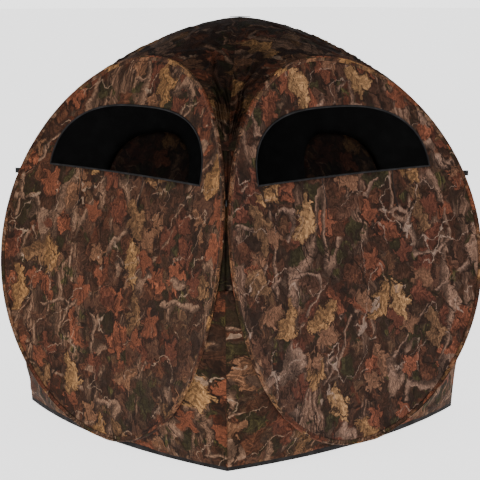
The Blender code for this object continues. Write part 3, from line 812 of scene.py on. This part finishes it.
def plain_cloth(name, colour, pitch=0.0014, roughness=0.85, ribbed=False):
    """Black lining, tape or webbing, with its weave and a little dust."""
    material, net, shader, cloth = cloth_material(name)
    dust = net.noise(cloth, 14.0, 4.0, 0.6)
    pale = tuple(c * 1.8 + 0.0008 for c in colour)
    deep = tuple(c * 0.7 for c in colour)
    mixed = net.mix(net.step(dust, 0.35, 0.75), deep, pale)
    net.feed(shader.inputs["Base Color"], mixed)
    rough_map = net.scale_add(dust, 0.16, roughness - 0.08)
    net.feed(shader.inputs["Roughness"], rough_map)
    shader.inputs["Specular IOR Level"].default_value = 0.12
    ribs = None
    if ribbed:
        x, _, _ = net.split(cloth)
        ribs = net.sine(net.times(x, 2 * math.pi / 0.0021))
        ribs = net.times(ribs, 2.0)
    weave(net, cloth, pitch, 0.5, shader, ribs)
    return material


def metal(name, colour, roughness):
    """Metal with fine specks, in object coordinates."""
    material, net, shader = new_material(name)
    place = net.add("ShaderNodeTexCoord").outputs["Object"]
    speck = net.add("ShaderNodeTexNoise")
    net.feed(speck.inputs["Vector"], place)
    speck.inputs["Scale"].default_value = 260.0
    speck.inputs["Detail"].default_value = 4.0
    fine = speck.outputs["Fac"]
    pale = tuple(min(1.0, c * 1.25) for c in colour)
    deep = tuple(c * 0.72 for c in colour)
    net.feed(shader.inputs["Base Color"], net.mix(net.step(fine, 0.3, 0.7), deep, pale))
    net.feed(shader.inputs["Roughness"], net.scale_add(fine, 0.2, roughness - 0.1))
    shader.inputs["Metallic"].default_value = 1.0
    net.feed(shader.inputs["Normal"], net.bump(fine, 0.2, 0.0002))
    return material


# painted light: the right and left walls' prints take a cooler tint than the other parts, as if a warm
# light fell on the front wall and a cooler one on the right wall
WARM = (1.08, 0.90, 0.76)
COOL_LIGHT_TINT = (1.02, 0.88, 0.84)
GAIN = 0.60
WALL_PRINT = [
    printed_cloth("front_print", GAIN, WARM, (0.0, 0.0)),
    printed_cloth("right_print", GAIN, COOL_LIGHT_TINT, (2.31, 1.47)),
    printed_cloth("back_print", GAIN, WARM, (4.9, 2.2)),
    printed_cloth("left_print", GAIN, COOL_LIGHT_TINT, (7.7, 3.9)),
]
SLEEVE_PRINT = printed_cloth("sleeve_print", GAIN * 1.1, WARM, (1.1, 5.0), stitch=0.016)
# painted shade: the corner strips' print is darker still, for the shade in the recess between the hoops
CORNER_PRINT_PAINTED_SHADE = printed_cloth("corner_print_painted_shade", GAIN * 0.40, WARM, (4.1, 5.6))
# painted shade: the roof's print is half as light as the walls', for the shade that lies on the roof
ROOF_PRINT_PAINTED_SHADE = printed_cloth("roof_print_painted_shade", GAIN * 0.50, WARM, (3.3, 8.1))
SKIRT_PRINT = printed_cloth("skirt_print", GAIN * 0.9, WARM, (6.2, 6.6))
COVER_PRINT = printed_cloth("cover_print", GAIN * 0.9, WARM, (8.4, 0.7))
COVER_INSIDE = printed_cloth("cover_inside", 0.10, WARM, (8.4, 0.7))
LINING = plain_cloth("black_lining", (0.0025, 0.0025, 0.0025), roughness=0.92)
TAPE = plain_cloth("black_tape", (0.012, 0.011, 0.011), pitch=0.0010)
WEBBING = plain_cloth("black_webbing", (0.013, 0.013, 0.013), ribbed=True)
CORD_BLACK = plain_cloth("cord_braid", (0.016, 0.013, 0.012), ribbed=True)
STEEL = metal("spring_steel", (0.42, 0.42, 0.44), 0.35)
ZIP_METAL = metal("zip_metal", (0.05, 0.05, 0.055), 0.42)
NYLON = plain_cloth("zip_coil", (0.012, 0.012, 0.013), roughness=0.45, ribbed=True)


# --- Camera, light and floor ---
CAMERA_AZIMUTH = math.radians(47.96)      # round from the front towards the right wall
CAMERA_ELEVATION = math.radians(9.67)
CAMERA_DISTANCE = 6.2
CAMERA_TARGET = Vector((0, 0, 0.734))
CAMERA_LENS = 106.5
LIGHT_TARGET = Vector((0, 0, 0.8))
LIGHT_SIZE = 3.0
LIGHTS = (
    ("key_light", (-0.8, -6.8, 2.6), 110.0),
    ("fill_light", (6.8, 0.8, 2.6), 105.0),
)
FLOOR_WHITE = 0.90
FLOOR_GLOW = 1.9
SKY_STRENGTH = 2.6
SKY = [
    (0.0, (1.0, 1.0, 1.0)),
    (0.04, (0.8, 0.8, 0.8)),
    (0.3, (0.28, 0.28, 0.29)),
    (1.0, (0.05, 0.05, 0.05)),
]


def build_stage():
    lens = bpy.data.cameras.new("camera")
    lens.sensor_width = 36.0
    lens.lens = CAMERA_LENS
    camera = add_object("camera", lens)
    away = Vector((
        math.cos(CAMERA_ELEVATION) * math.sin(CAMERA_AZIMUTH),
        -math.cos(CAMERA_ELEVATION) * math.cos(CAMERA_AZIMUTH),
        math.sin(CAMERA_ELEVATION),
    ))
    camera.location = CAMERA_TARGET + away * CAMERA_DISTANCE
    camera.rotation_euler = away.to_track_quat("Z", "Y").to_euler()
    bpy.context.scene.camera = camera

    bpy.ops.mesh.primitive_plane_add(size=400, location=(0, 0, -0.0008))
    floor = bpy.context.object
    floor.name = "floor"
    material, _, shader = new_material("floor")
    shader.inputs["Base Color"].default_value = (FLOOR_WHITE, FLOOR_WHITE, FLOOR_WHITE, 1)
    shader.inputs["Roughness"].default_value = 0.9
    shader.inputs["Specular IOR Level"].default_value = 0.1
    shader.inputs["Emission Color"].default_value = (1, 1, 1, 1)
    shader.inputs["Emission Strength"].default_value = FLOOR_GLOW
    floor.data.materials.append(material)

    world = bpy.data.worlds.new("studio")
    bpy.context.scene.world = world
    world.use_nodes = True
    net = Net(world.node_tree)
    back = world.node_tree.nodes["Background"]
    height = net.split(net.add("ShaderNodeTexCoord").outputs["Generated"])[2]
    net.feed(back.inputs["Color"], net.ramp(height, SKY))
    back.inputs["Strength"].default_value = SKY_STRENGTH

    for name, place, power in LIGHTS:
        light = bpy.data.lights.new(name, "AREA")
        light.size = LIGHT_SIZE
        light.energy = power
        lamp = add_object(name, light)
        lamp.location = place
        aim = Vector(place) - LIGHT_TARGET
        lamp.rotation_euler = aim.to_track_quat("Z", "Y").to_euler()


# --- Cords ---
def build_cord(wall_name, side, u, length):
    wall = WALLS.index(wall_name)
    radius = CORD_DIAMETER / 2
    low = slope_v(BIG_WINDOW[2])
    stand = FABRIC / 2 + radius + CORD_GAP
    steps = 40
    points = []
    for i in range(steps + 1):
        fall = length * i / steps
        sway = CORD_SWAY * math.sin(fall * 30 + 9 * u)
        lift = 0.0025 * math.exp(-((fall / 0.012) ** 2))
        points.append(on_wall(wall, u + sway, low - 0.001 - fall, stand + lift))
    name = f"{wall_name}_{side}_tie"
    cord = round_curve(name, points, radius)
    cord.data.use_fill_caps = True
    settle(cord, f"{wall_name}_wall", "cord", f"{wall_name}_{side}_tie_cord")
    knot = build_knot(f"{name}_knot", points[-1], points[-1] - points[-4])
    settle(knot, f"{wall_name}_wall", "cord")


def build_knot(name, place, down):
    """A small overhand knot in the cord's end: a trefoil of the same cord."""
    size = 0.0016
    axis = down.normalized()
    turn = axis.to_track_quat("Z", "Y").to_matrix()
    count = 60
    points = []
    for i in range(count):
        t = 2 * math.pi * i / count
        local = Vector((
            size * (math.sin(t) + 2 * math.sin(2 * t)) * 0.5,
            size * (math.cos(t) - 2 * math.cos(2 * t)) * 0.5,
            -size * math.sin(3 * t),
        ))
        points.append(place - axis * 0.003 + turn @ local)
    knot = round_curve(name, points, 0.0011)
    knot.data.splines[0].use_cyclic_u = True
    return knot


# --- Walls ---
def build_panel(wall):
    name = WALLS[wall]
    inset = 0.0035
    outer = [
        ((HOOP_HALF_WIDTH - inset) * math.cos(a), (HOOP_HALF_HEIGHT - inset) * math.sin(a))
        for a in (2 * math.pi * i / 220 for i in range(220))
    ]
    holes = [window_outline(wall_window(wall))]
    if name == "left":
        holes.append(door_outline())
    flat, faces = flat_mesh(outer, holes, CLOTH_STEP)
    points = [on_wall(wall, u, v, FABRIC / 2 + panel_relief(wall, u, v)) for u, v in flat]
    panel = new_mesh_object(f"{name}_panel", points, faces, flat)
    finish_cloth(
        panel, wall_axes(wall)[1], (WALL_PRINT[wall], LINING), CLOTH_THICKNESS,
        f"{name}_wall", "wall_fabric", f"{name}_wall_panel",
    )


def hoop_strip(name, wall, section):
    """A strip swept round the hoop. section gives the (out, stand, mark) of each
    of its points at an angle."""
    turns = [2 * math.pi * i / HOOP_STEPS for i in range(HOOP_STEPS + 1)]
    runs = lengths([on_hoop(wall, angle) for angle in turns])
    rows = []
    for angle, run in zip(turns, runs):
        line = section(angle)
        rows.append([(on_hoop(wall, angle, out, stand), (run, mark)) for out, stand, mark in line])
    return grid_object(name, rows)


def build_sleeve(wall):
    """The stuffed edge of the wall: a puckered tube with a sewn flange."""
    name = WALLS[wall]

    def tube_section(angle):
        gather = 0.0005 * rough(math.cos(angle) * 70, math.sin(angle) * 70, wall)
        gather += FERRULE_SWELL * math.exp(-(((angle - FERRULE_TURN) / 0.07) ** 4))
        radius, half = SLEEVE_RADIAL / 2 + gather, SLEEVE_WIDTH / 2 + gather
        line = []
        for j in range(15):
            t = 2 * math.pi * (j / 14)
            line.append((radius * math.cos(t), half * math.sin(t), 0.030 + 0.04 * j / 14))
        return line

    def flange_section(angle):
        wave = 0.0004 * rough(math.cos(angle) * 60, math.sin(angle) * 60, 5 + wall)
        line = []
        for j, (out, stand) in enumerate(FLANGE_SECTION):
            line.append((out, stand + wave, 0.008 + 0.004 * j))
        return line

    tube = hoop_strip(f"{name}_sleeve", wall, tube_section)
    face_away(tube, on_hoop(wall, 0.0))
    dress(tube, SLEEVE_PRINT)
    settle(tube, f"{name}_wall", "sleeve_fabric", f"{name}_hoop_sleeve")
    flange = hoop_strip(f"{name}_sleeve_flange", wall, flange_section)
    outward = wall_axes(wall)[1]
    finish_cloth(flange, outward, (SLEEVE_PRINT,), STRIP_THICKNESS, f"{name}_wall", "sleeve_fabric")


def build_binding(wall):
    name = WALLS[wall]
    outline = window_outline(wall_window(wall), -BINDING / 2 - 0.0003, 96, 60)
    count = len(outline)
    rows = []
    run = 0.0
    for i in range(count + 1):
        u, v = outline[i % count]
        nu, nv = outline[(i + 1) % count]
        pu, pv = outline[(i - 1) % count]
        tangent = Vector((nu - pu, nv - pv)).normalized()
        normal = Vector((tangent.y, -tangent.x))
        row = []
        for j in range(11):
            t = 2 * math.pi * j / 10
            out = (BINDING / 2 + 0.0008) * math.cos(t)
            w = 0.0026 * math.sin(t)
            row.append((on_wall(wall, u + normal.x * out, v + normal.y * out, w), (run, 0.016 * j / 10)))
        rows.append(row)
        run += math.hypot(nu - u, nv - v)
    binding = grid_object(f"{name}_binding", rows)
    face_away(binding, on_wall(wall, *outline[0]))
    dress(binding, TAPE)
    settle(binding, f"{name}_wall", "black_webbing", f"{name}_window_binding")


def build_flap(wall):
    """A window's cover as soft cloth, in the plane of its CAD plate."""
    name = WALLS[wall]
    window = wall_window(wall)
    hangs = window is BIG_WINDOW
    along, outward = wall_axes(wall)
    low = slope_v(window[2])
    hinge = on_wall(wall, 0.0, low - BINDING - FLAP_HINGE_DROP, -FLAP_BEHIND)
    far = on_wall(wall, 0.0, low + (-1 if hangs else 1) * window[1], -FLAP_BEHIND)
    reach = (far - hinge).normalized()
    face = along.cross(reach).normalized()
    if face.dot(outward) < 0:
        face = -face
    start = hinge + reach * FLAP_HINGE_GAP
    outline = window_outline(window, FLAP_MARGIN)
    flat, faces = flat_mesh(outline, [], CLOTH_STEP)
    depth = window[1] + 2 * FLAP_MARGIN
    points = []
    for u, v in flat:
        fall = (v - low + FLAP_MARGIN) / depth
        ripple = rough(u * 9, fall * 1.4, 20 + wall) + 0.5 * rough(u * 21, fall * 2, 30 + wall)
        relief = -COVER_SAG * fade(fall, 0.0, 0.7) * (0.45 + 0.55 * ripple)
        points.append(start + along * u + reach * (v - low + FLAP_MARGIN) + face * relief)
    flap = new_mesh_object(f"{name}_cover", points, faces, flat)
    materials = (LINING, WALL_PRINT[wall]) if hangs else (COVER_PRINT, COVER_INSIDE)
    slot = "lining_fabric" if hangs else "cover_fabric"
    body, node = f"{name}_flap", f"{name}_window_flap"
    finish_cloth(flap, outward, materials, CLOTH_THICKNESS, body, slot, node)


# --- Roof ---
def roof_seam(wall, turn):
    """A point of the seam with the neighbouring gore, lapped over it."""
    corner, share, side, outward = corner_side(wall, turn)
    foot = corner_middle(corner, ROOF_START)
    reach = outward.dot(foot)
    away = (1 - share) ** ROOF_SEAM_TAPER
    peak = ROOF_HEIGHT - PEAK_DROP
    drop = (peak - foot.z) * away ** ROOF_CURVE
    place = (side + outward) * reach * away
    place += side * ROOF_LAP * (1 if share < 1 else 0) - outward * ROOF_LAP
    return place + Vector((0, 0, peak - drop))


def build_gore(wall):
    name = WALLS[wall]
    along, outward = wall_axes(wall)
    steps, columns = 150, 48
    rows = []
    for i in range(steps + 1):
        turn = i / steps
        angle = ROOF_START + (math.pi - 2 * ROOF_START) * turn
        edge = on_hoop(wall, angle, SLEEVE_RADIAL / 2 + 0.0005, -0.002)
        seam = roof_seam(wall, turn)
        span = (seam - edge).length
        near = min(turn, 1 - turn) * 2
        row = []
        for j in range(columns + 1):
            t = j / columns
            point = edge.lerp(seam, t)
            out = (point - ROOF_CENTRE).normalized()
            lift = ROOF_BULGE * (span / 0.5) ** 2 * 4 * t * (1 - t)
            window = math.sin(math.pi * min(1.0, t * 1.02)) ** 0.6 if 0 < t < 1 else 0.0
            seed = wall + (3 if turn < 0.5 else 0)
            wander = rough(near * 3.0, t * 2.0, 40 + seed)
            bend = rough(near * 7.0, t * 3.0, 45 + seed)
            fold = math.sin(t * 15 + 5 * wander + 3.5 * bend + 7 * near)
            fold = 1 - 2 * abs(fold) ** 0.6
            grow = fade(near, 0.01, 0.20) * (1 - 0.72 * fade(near, 0.30, 0.95))
            crease = ROOF_CREASE * fold * grow * window
            soft = ROOF_SLACK * rough(point.x * 5, point.y * 5, 50) * window * fade(near, 0.1, 0.5)
            mark = (along.dot(point), outward.dot(point) - 0.6 * point.z)
            row.append((point + out * (lift + crease + soft), mark))
        rows.append(row)
    gore = grid_object(f"{name}_roof", rows)
    # the roof's darker print is painted shade
    finish_cloth(
        gore, Vector((0, 0, 1)), (ROOF_PRINT_PAINTED_SHADE, LINING), CLOTH_THICKNESS,
        f"{name}_wall", "roof_fabric", f"{name}_roof_gore",
    )
    crumple(gore, wall, *ROOF_CRUMPLE)


# --- Lower fabric and hem ---
def base_line(wall, share, inset=0.0):
    along, outward = wall_axes(wall)
    half = BASE_CORNER - inset
    bulge = (BASE_BULGE - BASE_CORNER) * (1 - share * share)
    return along * half * share + outward * (BASE_CORNER + bulge)


def skirt_edge(wall, turn):
    """A point of the lower edge: down the corner seam, then along the ground."""
    corner, share, side, outward = corner_side(wall, turn)
    top = corner_middle(corner, SKIRT_START)
    if share < 0.5:
        t = share / 0.5
        reach = outward.dot(top) * (1 - t) + BASE_CORNER * t
        reach -= SEAM_TUCK * 4 * t * (1 - t)
        height = top.z * (1 - t) + HEM_HEIGHT * 0.6 * t
        return (side + outward) * reach + side * SKIRT_LAP + Vector((0, 0, height))
    t = (share - 0.5) / 0.5
    place = base_line(wall, (1 - t) * (1 if turn < 0.5 else -1), -SKIRT_LAP)
    return place + Vector((0, 0, HEM_HEIGHT * 0.6))


def build_skirt(wall):
    name = WALLS[wall]
    along, outward = wall_axes(wall)
    steps, columns = 168, 16
    turns = [i / steps for i in range(steps + 1)]
    edges = []
    for turn in turns:
        angle = SKIRT_START - (math.pi + 2 * SKIRT_START) * turn
        edges.append(on_hoop(wall, angle, -SKIRT_TUCK * math.sin(math.pi * turn), -SKIRT_BEHIND))
    rows = []
    for turn, edge, run in zip(turns, edges, lengths(edges)):
        rim = skirt_edge(wall, turn)
        span = (rim - edge).length
        side = along * (0.8 * math.cos(math.pi * turn))
        out = (outward + side).normalized()
        row = []
        for j in range(columns + 1):
            t = j / columns
            point = edge.lerp(rim, t)
            window = math.sin(math.pi * t) ** 0.7 if 0 < t < 1 else 0.0
            fold = rough(run * 5, t * 3.6, 60 + wall) + 0.5 * rough(run * 19, t * 3, 70 + wall)
            size = SKIRT_FOLD + SKIRT_LONG_FOLD * fade(span, 0.05, 0.25)
            row.append((point + out * fold * size * window, (along.dot(point), point.z)))
        rows.append(row)
    skirt = grid_object(f"{name}_skirt_cloth", rows)
    finish_cloth(
        skirt, outward, (SKIRT_PRINT, LINING), CLOTH_THICKNESS,
        f"{name}_wall", "skirt_fabric", f"{name}_skirt",
    )
    crumple(skirt, wall, *SKIRT_CRUMPLE)


def build_hem(wall):
    name = WALLS[wall]
    _, outward = wall_axes(wall)
    steps = 120
    shares = [-1 + 2 * i / steps for i in range(steps + 1)]
    middles = [base_line(wall, share, 0.0006) for share in shares]
    rows = []
    for share, middle, run in zip(shares, middles, lengths(middles)):
        sway = 0.0012 * rough(run * 14, 0.0, 80 + wall) * (1 - share ** 8)
        top = HEM_HEIGHT + 0.0012 * rough(run * 20, 1.0, 80 + wall)
        row = []
        section = (
            (0.0011, top), (0.0019, top * 0.8), (0.0016, top * 0.4), (0.0020, 0.0012), (0.0010, 0.0001),
            (-0.0010, 0.0001), (-0.0017, 0.002), (-0.0014, top * 0.5), (-0.0010, top), (0.0011, top),
        )
        for j, (side, high) in enumerate(section):
            row.append((middle + outward * (side + sway) + Vector((0, 0, high)), (run, 0.005 * j)))
        rows.append(row)
    hem = grid_object(f"{name}_hem", rows)
    first = hem.data.polygons[1]
    if first.normal.dot(outward) < 0:
        hem.data.flip_normals()
    dress(hem, TAPE)
    settle(hem, f"{name}_wall", "black_webbing", f"{name}_ground_hem")
    crumple(hem, wall, *HEM_CRUMPLE)


# --- Corners ---
def build_corner(corner):
    name = CORNERS[corner]
    body = f"{WALLS[corner]}_wall"
    along, outward = wall_axes(corner)
    away = (along + outward).normalized()
    steps = 60
    angles = [TAPE_FIRST + (TAPE_LAST - TAPE_FIRST) * i / steps for i in range(steps + 1)]
    edges = [on_hoop(corner, angle) - away * TAPE_TUCK for angle in angles]
    rows = []
    for angle, mine, run in zip(angles, edges, lengths(edges)):
        theirs = on_hoop((corner + 1) % 4, math.pi - angle) - away * TAPE_TUCK
        width = (theirs - mine).length
        row = []
        for j in range(25):
            t = j / 24
            roll = math.sqrt(abs(math.sin(2 * math.pi * t)))
            depth = STRIP_RISE + STRIP_ROLL * (roll - 1)
            gather = 0.0006 * rough(run * 60, t * 2, corner)
            row.append((mine.lerp(theirs, t) + away * (depth + gather), (run, 0.030 + width * t)))
        rows.append(row)
    strip = grid_object(f"{name}_tape", rows)
    node = f"{name}_corner_tape"
    # the strip's darker print is painted shade for the recess between the hoops
    finish_cloth(strip, away, (CORNER_PRINT_PAINTED_SHADE,), STRIP_THICKNESS, body, "sleeve_fabric", node)
    crumple(strip, corner, *STRIP_CRUMPLE)

    angle = math.asin(slope_v(TIE_LOOP_HEIGHT) / HOOP_HALF_HEIGHT)
    across = (along - outward).normalized()
    root = corner_middle(corner, angle) + away * TIE_LOOP_START
    tie = build_loop(f"{name}_tie", root, away * TIE_LOOP_LENGTH, Vector((0, 0, LOOP_WIDTH)), across)
    settle(tie, body, "black_webbing", f"{name}_tie_loop")
    root = (along + outward) * BASE_CORNER - away * STAKE_LOOP_LENGTH / 2 + Vector((0, 0, 0.0031))
    reach = away * -STAKE_LOOP_LENGTH
    stake = build_loop(f"{name}_stake", root, reach, across * LOOP_WIDTH, Vector((0, 0, 1)))
    settle(stake, body, "black_webbing", f"{name}_stake_loop")


def build_loop(name, root, reach, width, normal):
    """A strip of webbing, doubled back on itself and sewn across."""
    half = 0.00085
    gap = 0.0006
    path = []
    for i in range(7):
        path.append((i / 6 * 0.9, gap + half))
    for i in range(1, 8):
        t = math.pi * i / 8
        path.append((0.9 + 0.06 * math.sin(t), (gap + half) * math.cos(t)))
    for i in range(7):
        path.append((0.9 * (1 - i / 6), -gap - half))
    rows = []
    run = 0.0
    for i, (t, level) in enumerate(path):
        if i:
            run += reach.length * abs(t - path[i - 1][0]) + abs(level - path[i - 1][1])
        row = []
        for j in range(9):
            s = j / 8 - 0.5
            row.append((root + reach * t + normal * level + width * s, (width.length * s, run)))
        rows.append(row)
    loop = grid_object(name, rows)
    dress(loop, WEBBING)
    thicken(loop, CLOTH_THICKNESS, offset=0.0)
    return loop


def build_patch():
    """The round patch over the roof's peak, with a turned and sewn edge."""
    rows = []
    around = 72
    for r, drop in PATCH_PROFILE:
        row = []
        for k in range(around + 1):
            t = 2 * math.pi * k / around
            x, y = r * math.cos(t), r * math.sin(t)
            row.append((Vector((x, y, ROOF_HEIGHT - drop)), (x, y)))
        rows.append(row)
    patch = grid_object("peak_patch", rows)
    finish_cloth(
        patch, Vector((0, 0, 1)), (TAPE,), PATCH_THICKNESS,
        "front_wall", "black_webbing", "roof_peak_patch",
    )
    crumple(patch, 0, *ROOF_CRUMPLE)


# --- Door ---
def zip_plane_w(u, v):
    r = DOOR_HALF_WIDTH
    foot, top = bow(r, DOOR_ARCH_V), bow(0.0, DOOR_ARCH_V + r)
    share = (v - DOOR_ARCH_V) / r
    return foot + (top - foot) * share - bow(u, v)


def build_door():
    """The door's cloth. Its sides and foot lap behind the wall by DOOR_LAP."""
    wall = WALLS.index("left")
    half = DOOR_HALF_WIDTH - DOOR_GAP
    low = DOOR_BOTTOM_V + DOOR_GAP
    outer = []
    for u, v in door_outline(DOOR_GAP):
        side = 0.0
        if abs(u) > half - 0.0001 and v <= DOOR_ARCH_V:
            side = DOOR_LAP if u > 0 else -DOOR_HINGE_LAP
        foot = DOOR_LAP if v < low + 0.0001 else 0.0
        outer.append((u + side, v - foot))
    flat, faces = flat_mesh(outer, [], CLOTH_STEP)
    points = []
    for u, v in flat:
        beside = fade(abs(u), half - 0.03, half) * fade(-v, -DOOR_ARCH_V - 0.06, -DOOR_ARCH_V)
        near = max(beside, fade(-v, -low - 0.03, -low))
        relief = -0.003 * (0.5 + 0.5 * rough(u * 5, v * 3, 91))
        relief += 0.0009 * rough(u * 20, v * 9, 92)
        relief += (panel_relief(wall, u, v) - DOOR_BEHIND - relief) * near
        points.append(on_wall(wall, u, v, FABRIC / 2 + relief))
    door = new_mesh_object("door_cloth", points, faces, flat)
    finish_cloth(
        door, wall_axes(wall)[1], (WALL_PRINT[wall], LINING), CLOTH_THICKNESS,
        "door", "wall_fabric", "door_flap",
    )


def arch_point(angle, out, w):
    wall = WALLS.index("left")
    r = DOOR_HALF_WIDTH + ZIP_GAP + out
    u, v = r * math.cos(angle), DOOR_ARCH_V + r * math.sin(angle)
    return on_wall(wall, u, v, zip_plane_w(u, v) + w), (u, v)


def build_zip():
    """The zip's welt, standing off the curved wall, and the coil on its flat top."""
    wall = WALLS.index("left")
    steps = 150
    rows = []
    for i in range(steps + 1):
        angle = math.pi * i / steps
        run = (DOOR_HALF_WIDTH + ZIP_GAP) * angle
        row = []
        for j, (out, level) in enumerate(WELT_SECTION):
            top, (u, v) = arch_point(angle, out, ZIP_STAND)
            foot = on_wall(wall, u, v, ZIP_CLEAR - 0.002)
            row.append((foot.lerp(top, level), (0.004 * j, run)))
        rows.append(row)
    welt = grid_object("left_zip_tape", rows)
    finish_cloth(
        welt, wall_axes(wall)[1], (TAPE,), WELT_THICKNESS,
        "left_wall", "black_webbing", "door_zip_track",
    )

    teeth = 330
    rows = []
    for i in range(teeth * 4 + 1):
        angle = math.pi * i / (teeth * 4)
        swell = 0.0004 * math.sin(2 * math.pi * i / 4)
        run = (DOOR_HALF_WIDTH + ZIP_GAP) * angle
        row = []
        for j in range(9):
            t = 2 * math.pi * j / 8
            out = ZIP_TAPE / 2 + (0.0020 + swell) * math.cos(t)
            w = ZIP_STAND - 0.0004 + (0.0007 + swell * 0.4) * math.sin(t)
            row.append((arch_point(angle, out, w)[0], (run, 0.0015 * j)))
        rows.append(row)
    coil = grid_object("left_zip_coil", rows)
    dress(coil, NYLON)
    settle(coil, "left_wall", "black_webbing")


def zip_solid(name, outline, low, high, rim):
    """A plate with an outline in (degrees round the arch, metres out), bevelled."""
    rings = []
    for w, shrink in ((low, rim), (low + rim, 0.0), (high - rim, 0.0), (high, rim)):
        mid_a = sum(a for a, _ in outline) / len(outline)
        mid_r = sum(r for _, r in outline) / len(outline)
        ring = []
        for a, r in outline:
            reach = math.hypot(math.radians(a - mid_a) * 0.337, r - mid_r)
            k = 1 - shrink / max(reach, 1e-6)
            angle = math.radians(mid_a + (a - mid_a) * k)
            ring.append(arch_point(angle, mid_r + (r - mid_r) * k, w)[0])
        rings.append(ring)
    count = len(outline)
    points = [p for ring in rings for p in ring]
    faces = [list(range(count)), list(range(4 * count - 1, 3 * count - 1, -1))]
    for k in range(3):
        for i in range(count):
            j = (i + 1) % count
            faces.append([k * count + i, (k + 1) * count + i, (k + 1) * count + j, k * count + j])
    solid = new_mesh_object(name, points, faces, [(p.y, p.z) for p in points])
    mesh = bmesh.new()
    mesh.from_mesh(solid.data)
    bmesh.ops.recalc_face_normals(mesh, faces=mesh.faces)
    mesh.to_mesh(solid.data)
    mesh.free()
    solid.data.set_sharp_from_angle(angle=math.radians(35))
    dress(solid, ZIP_METAL)
    return solid


def build_slider():
    mid = ZIP_TAPE / 2
    base = ZIP_STAND + 0.0005
    shape = []
    for i in range(24):
        t = 2 * math.pi * i / 24
        wide = 0.0048 * (1.0 - 0.18 * math.cos(t))
        shape.append((
            2.2 + 1.15 * signed_power(math.cos(t), 0.7),
            mid + wide * signed_power(math.sin(t), 0.6),
        ))
    slider = zip_solid("zip_slider_body", shape, base, base + 0.0036, 0.0006)
    settle(slider, "zip_slider", "zip_metal", "door_zip_slider")
    bar = [(1.6 + 1.2 * i / 11, mid + 0.0011) for i in range(12)]
    bar += [(2.8 - 1.2 * i / 11, mid - 0.0011) for i in range(12)]
    bridge = zip_solid("zip_slider_bridge", bar, base + 0.0036, base + 0.0050, 0.0003)
    settle(bridge, "zip_slider", "zip_metal")
    tab = []
    for i in range(28):
        t = 2 * math.pi * i / 28
        tab.append((
            -1.0 + 3.5 * signed_power(math.cos(t), 0.55),
            mid + 0.0030 * signed_power(math.sin(t), 0.75),
        ))
    pull = zip_solid("zip_pull_tab", tab, base + 0.0055, base + 0.0075, 0.0005)
    settle(pull, "zip_slider", "zip_metal", "door_zip_pull")


# --- Assembly ---
build_stage()
for wall_name, side, u, length in CORDS:
    build_cord(wall_name, side, u, length)
for wall in range(4):
    build_panel(wall)
    build_sleeve(wall)
    build_binding(wall)
    build_flap(wall)
    build_gore(wall)
    build_skirt(wall)
    build_hem(wall)
for corner in range(4):
    build_corner(corner)
build_patch()
build_door()
build_zip()
build_slider()
for name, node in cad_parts.items():
    if name.endswith("_hoop") or name.endswith("_hoop_ferrule"):
        node.data.materials.clear()
        node.data.materials.append(STEEL)
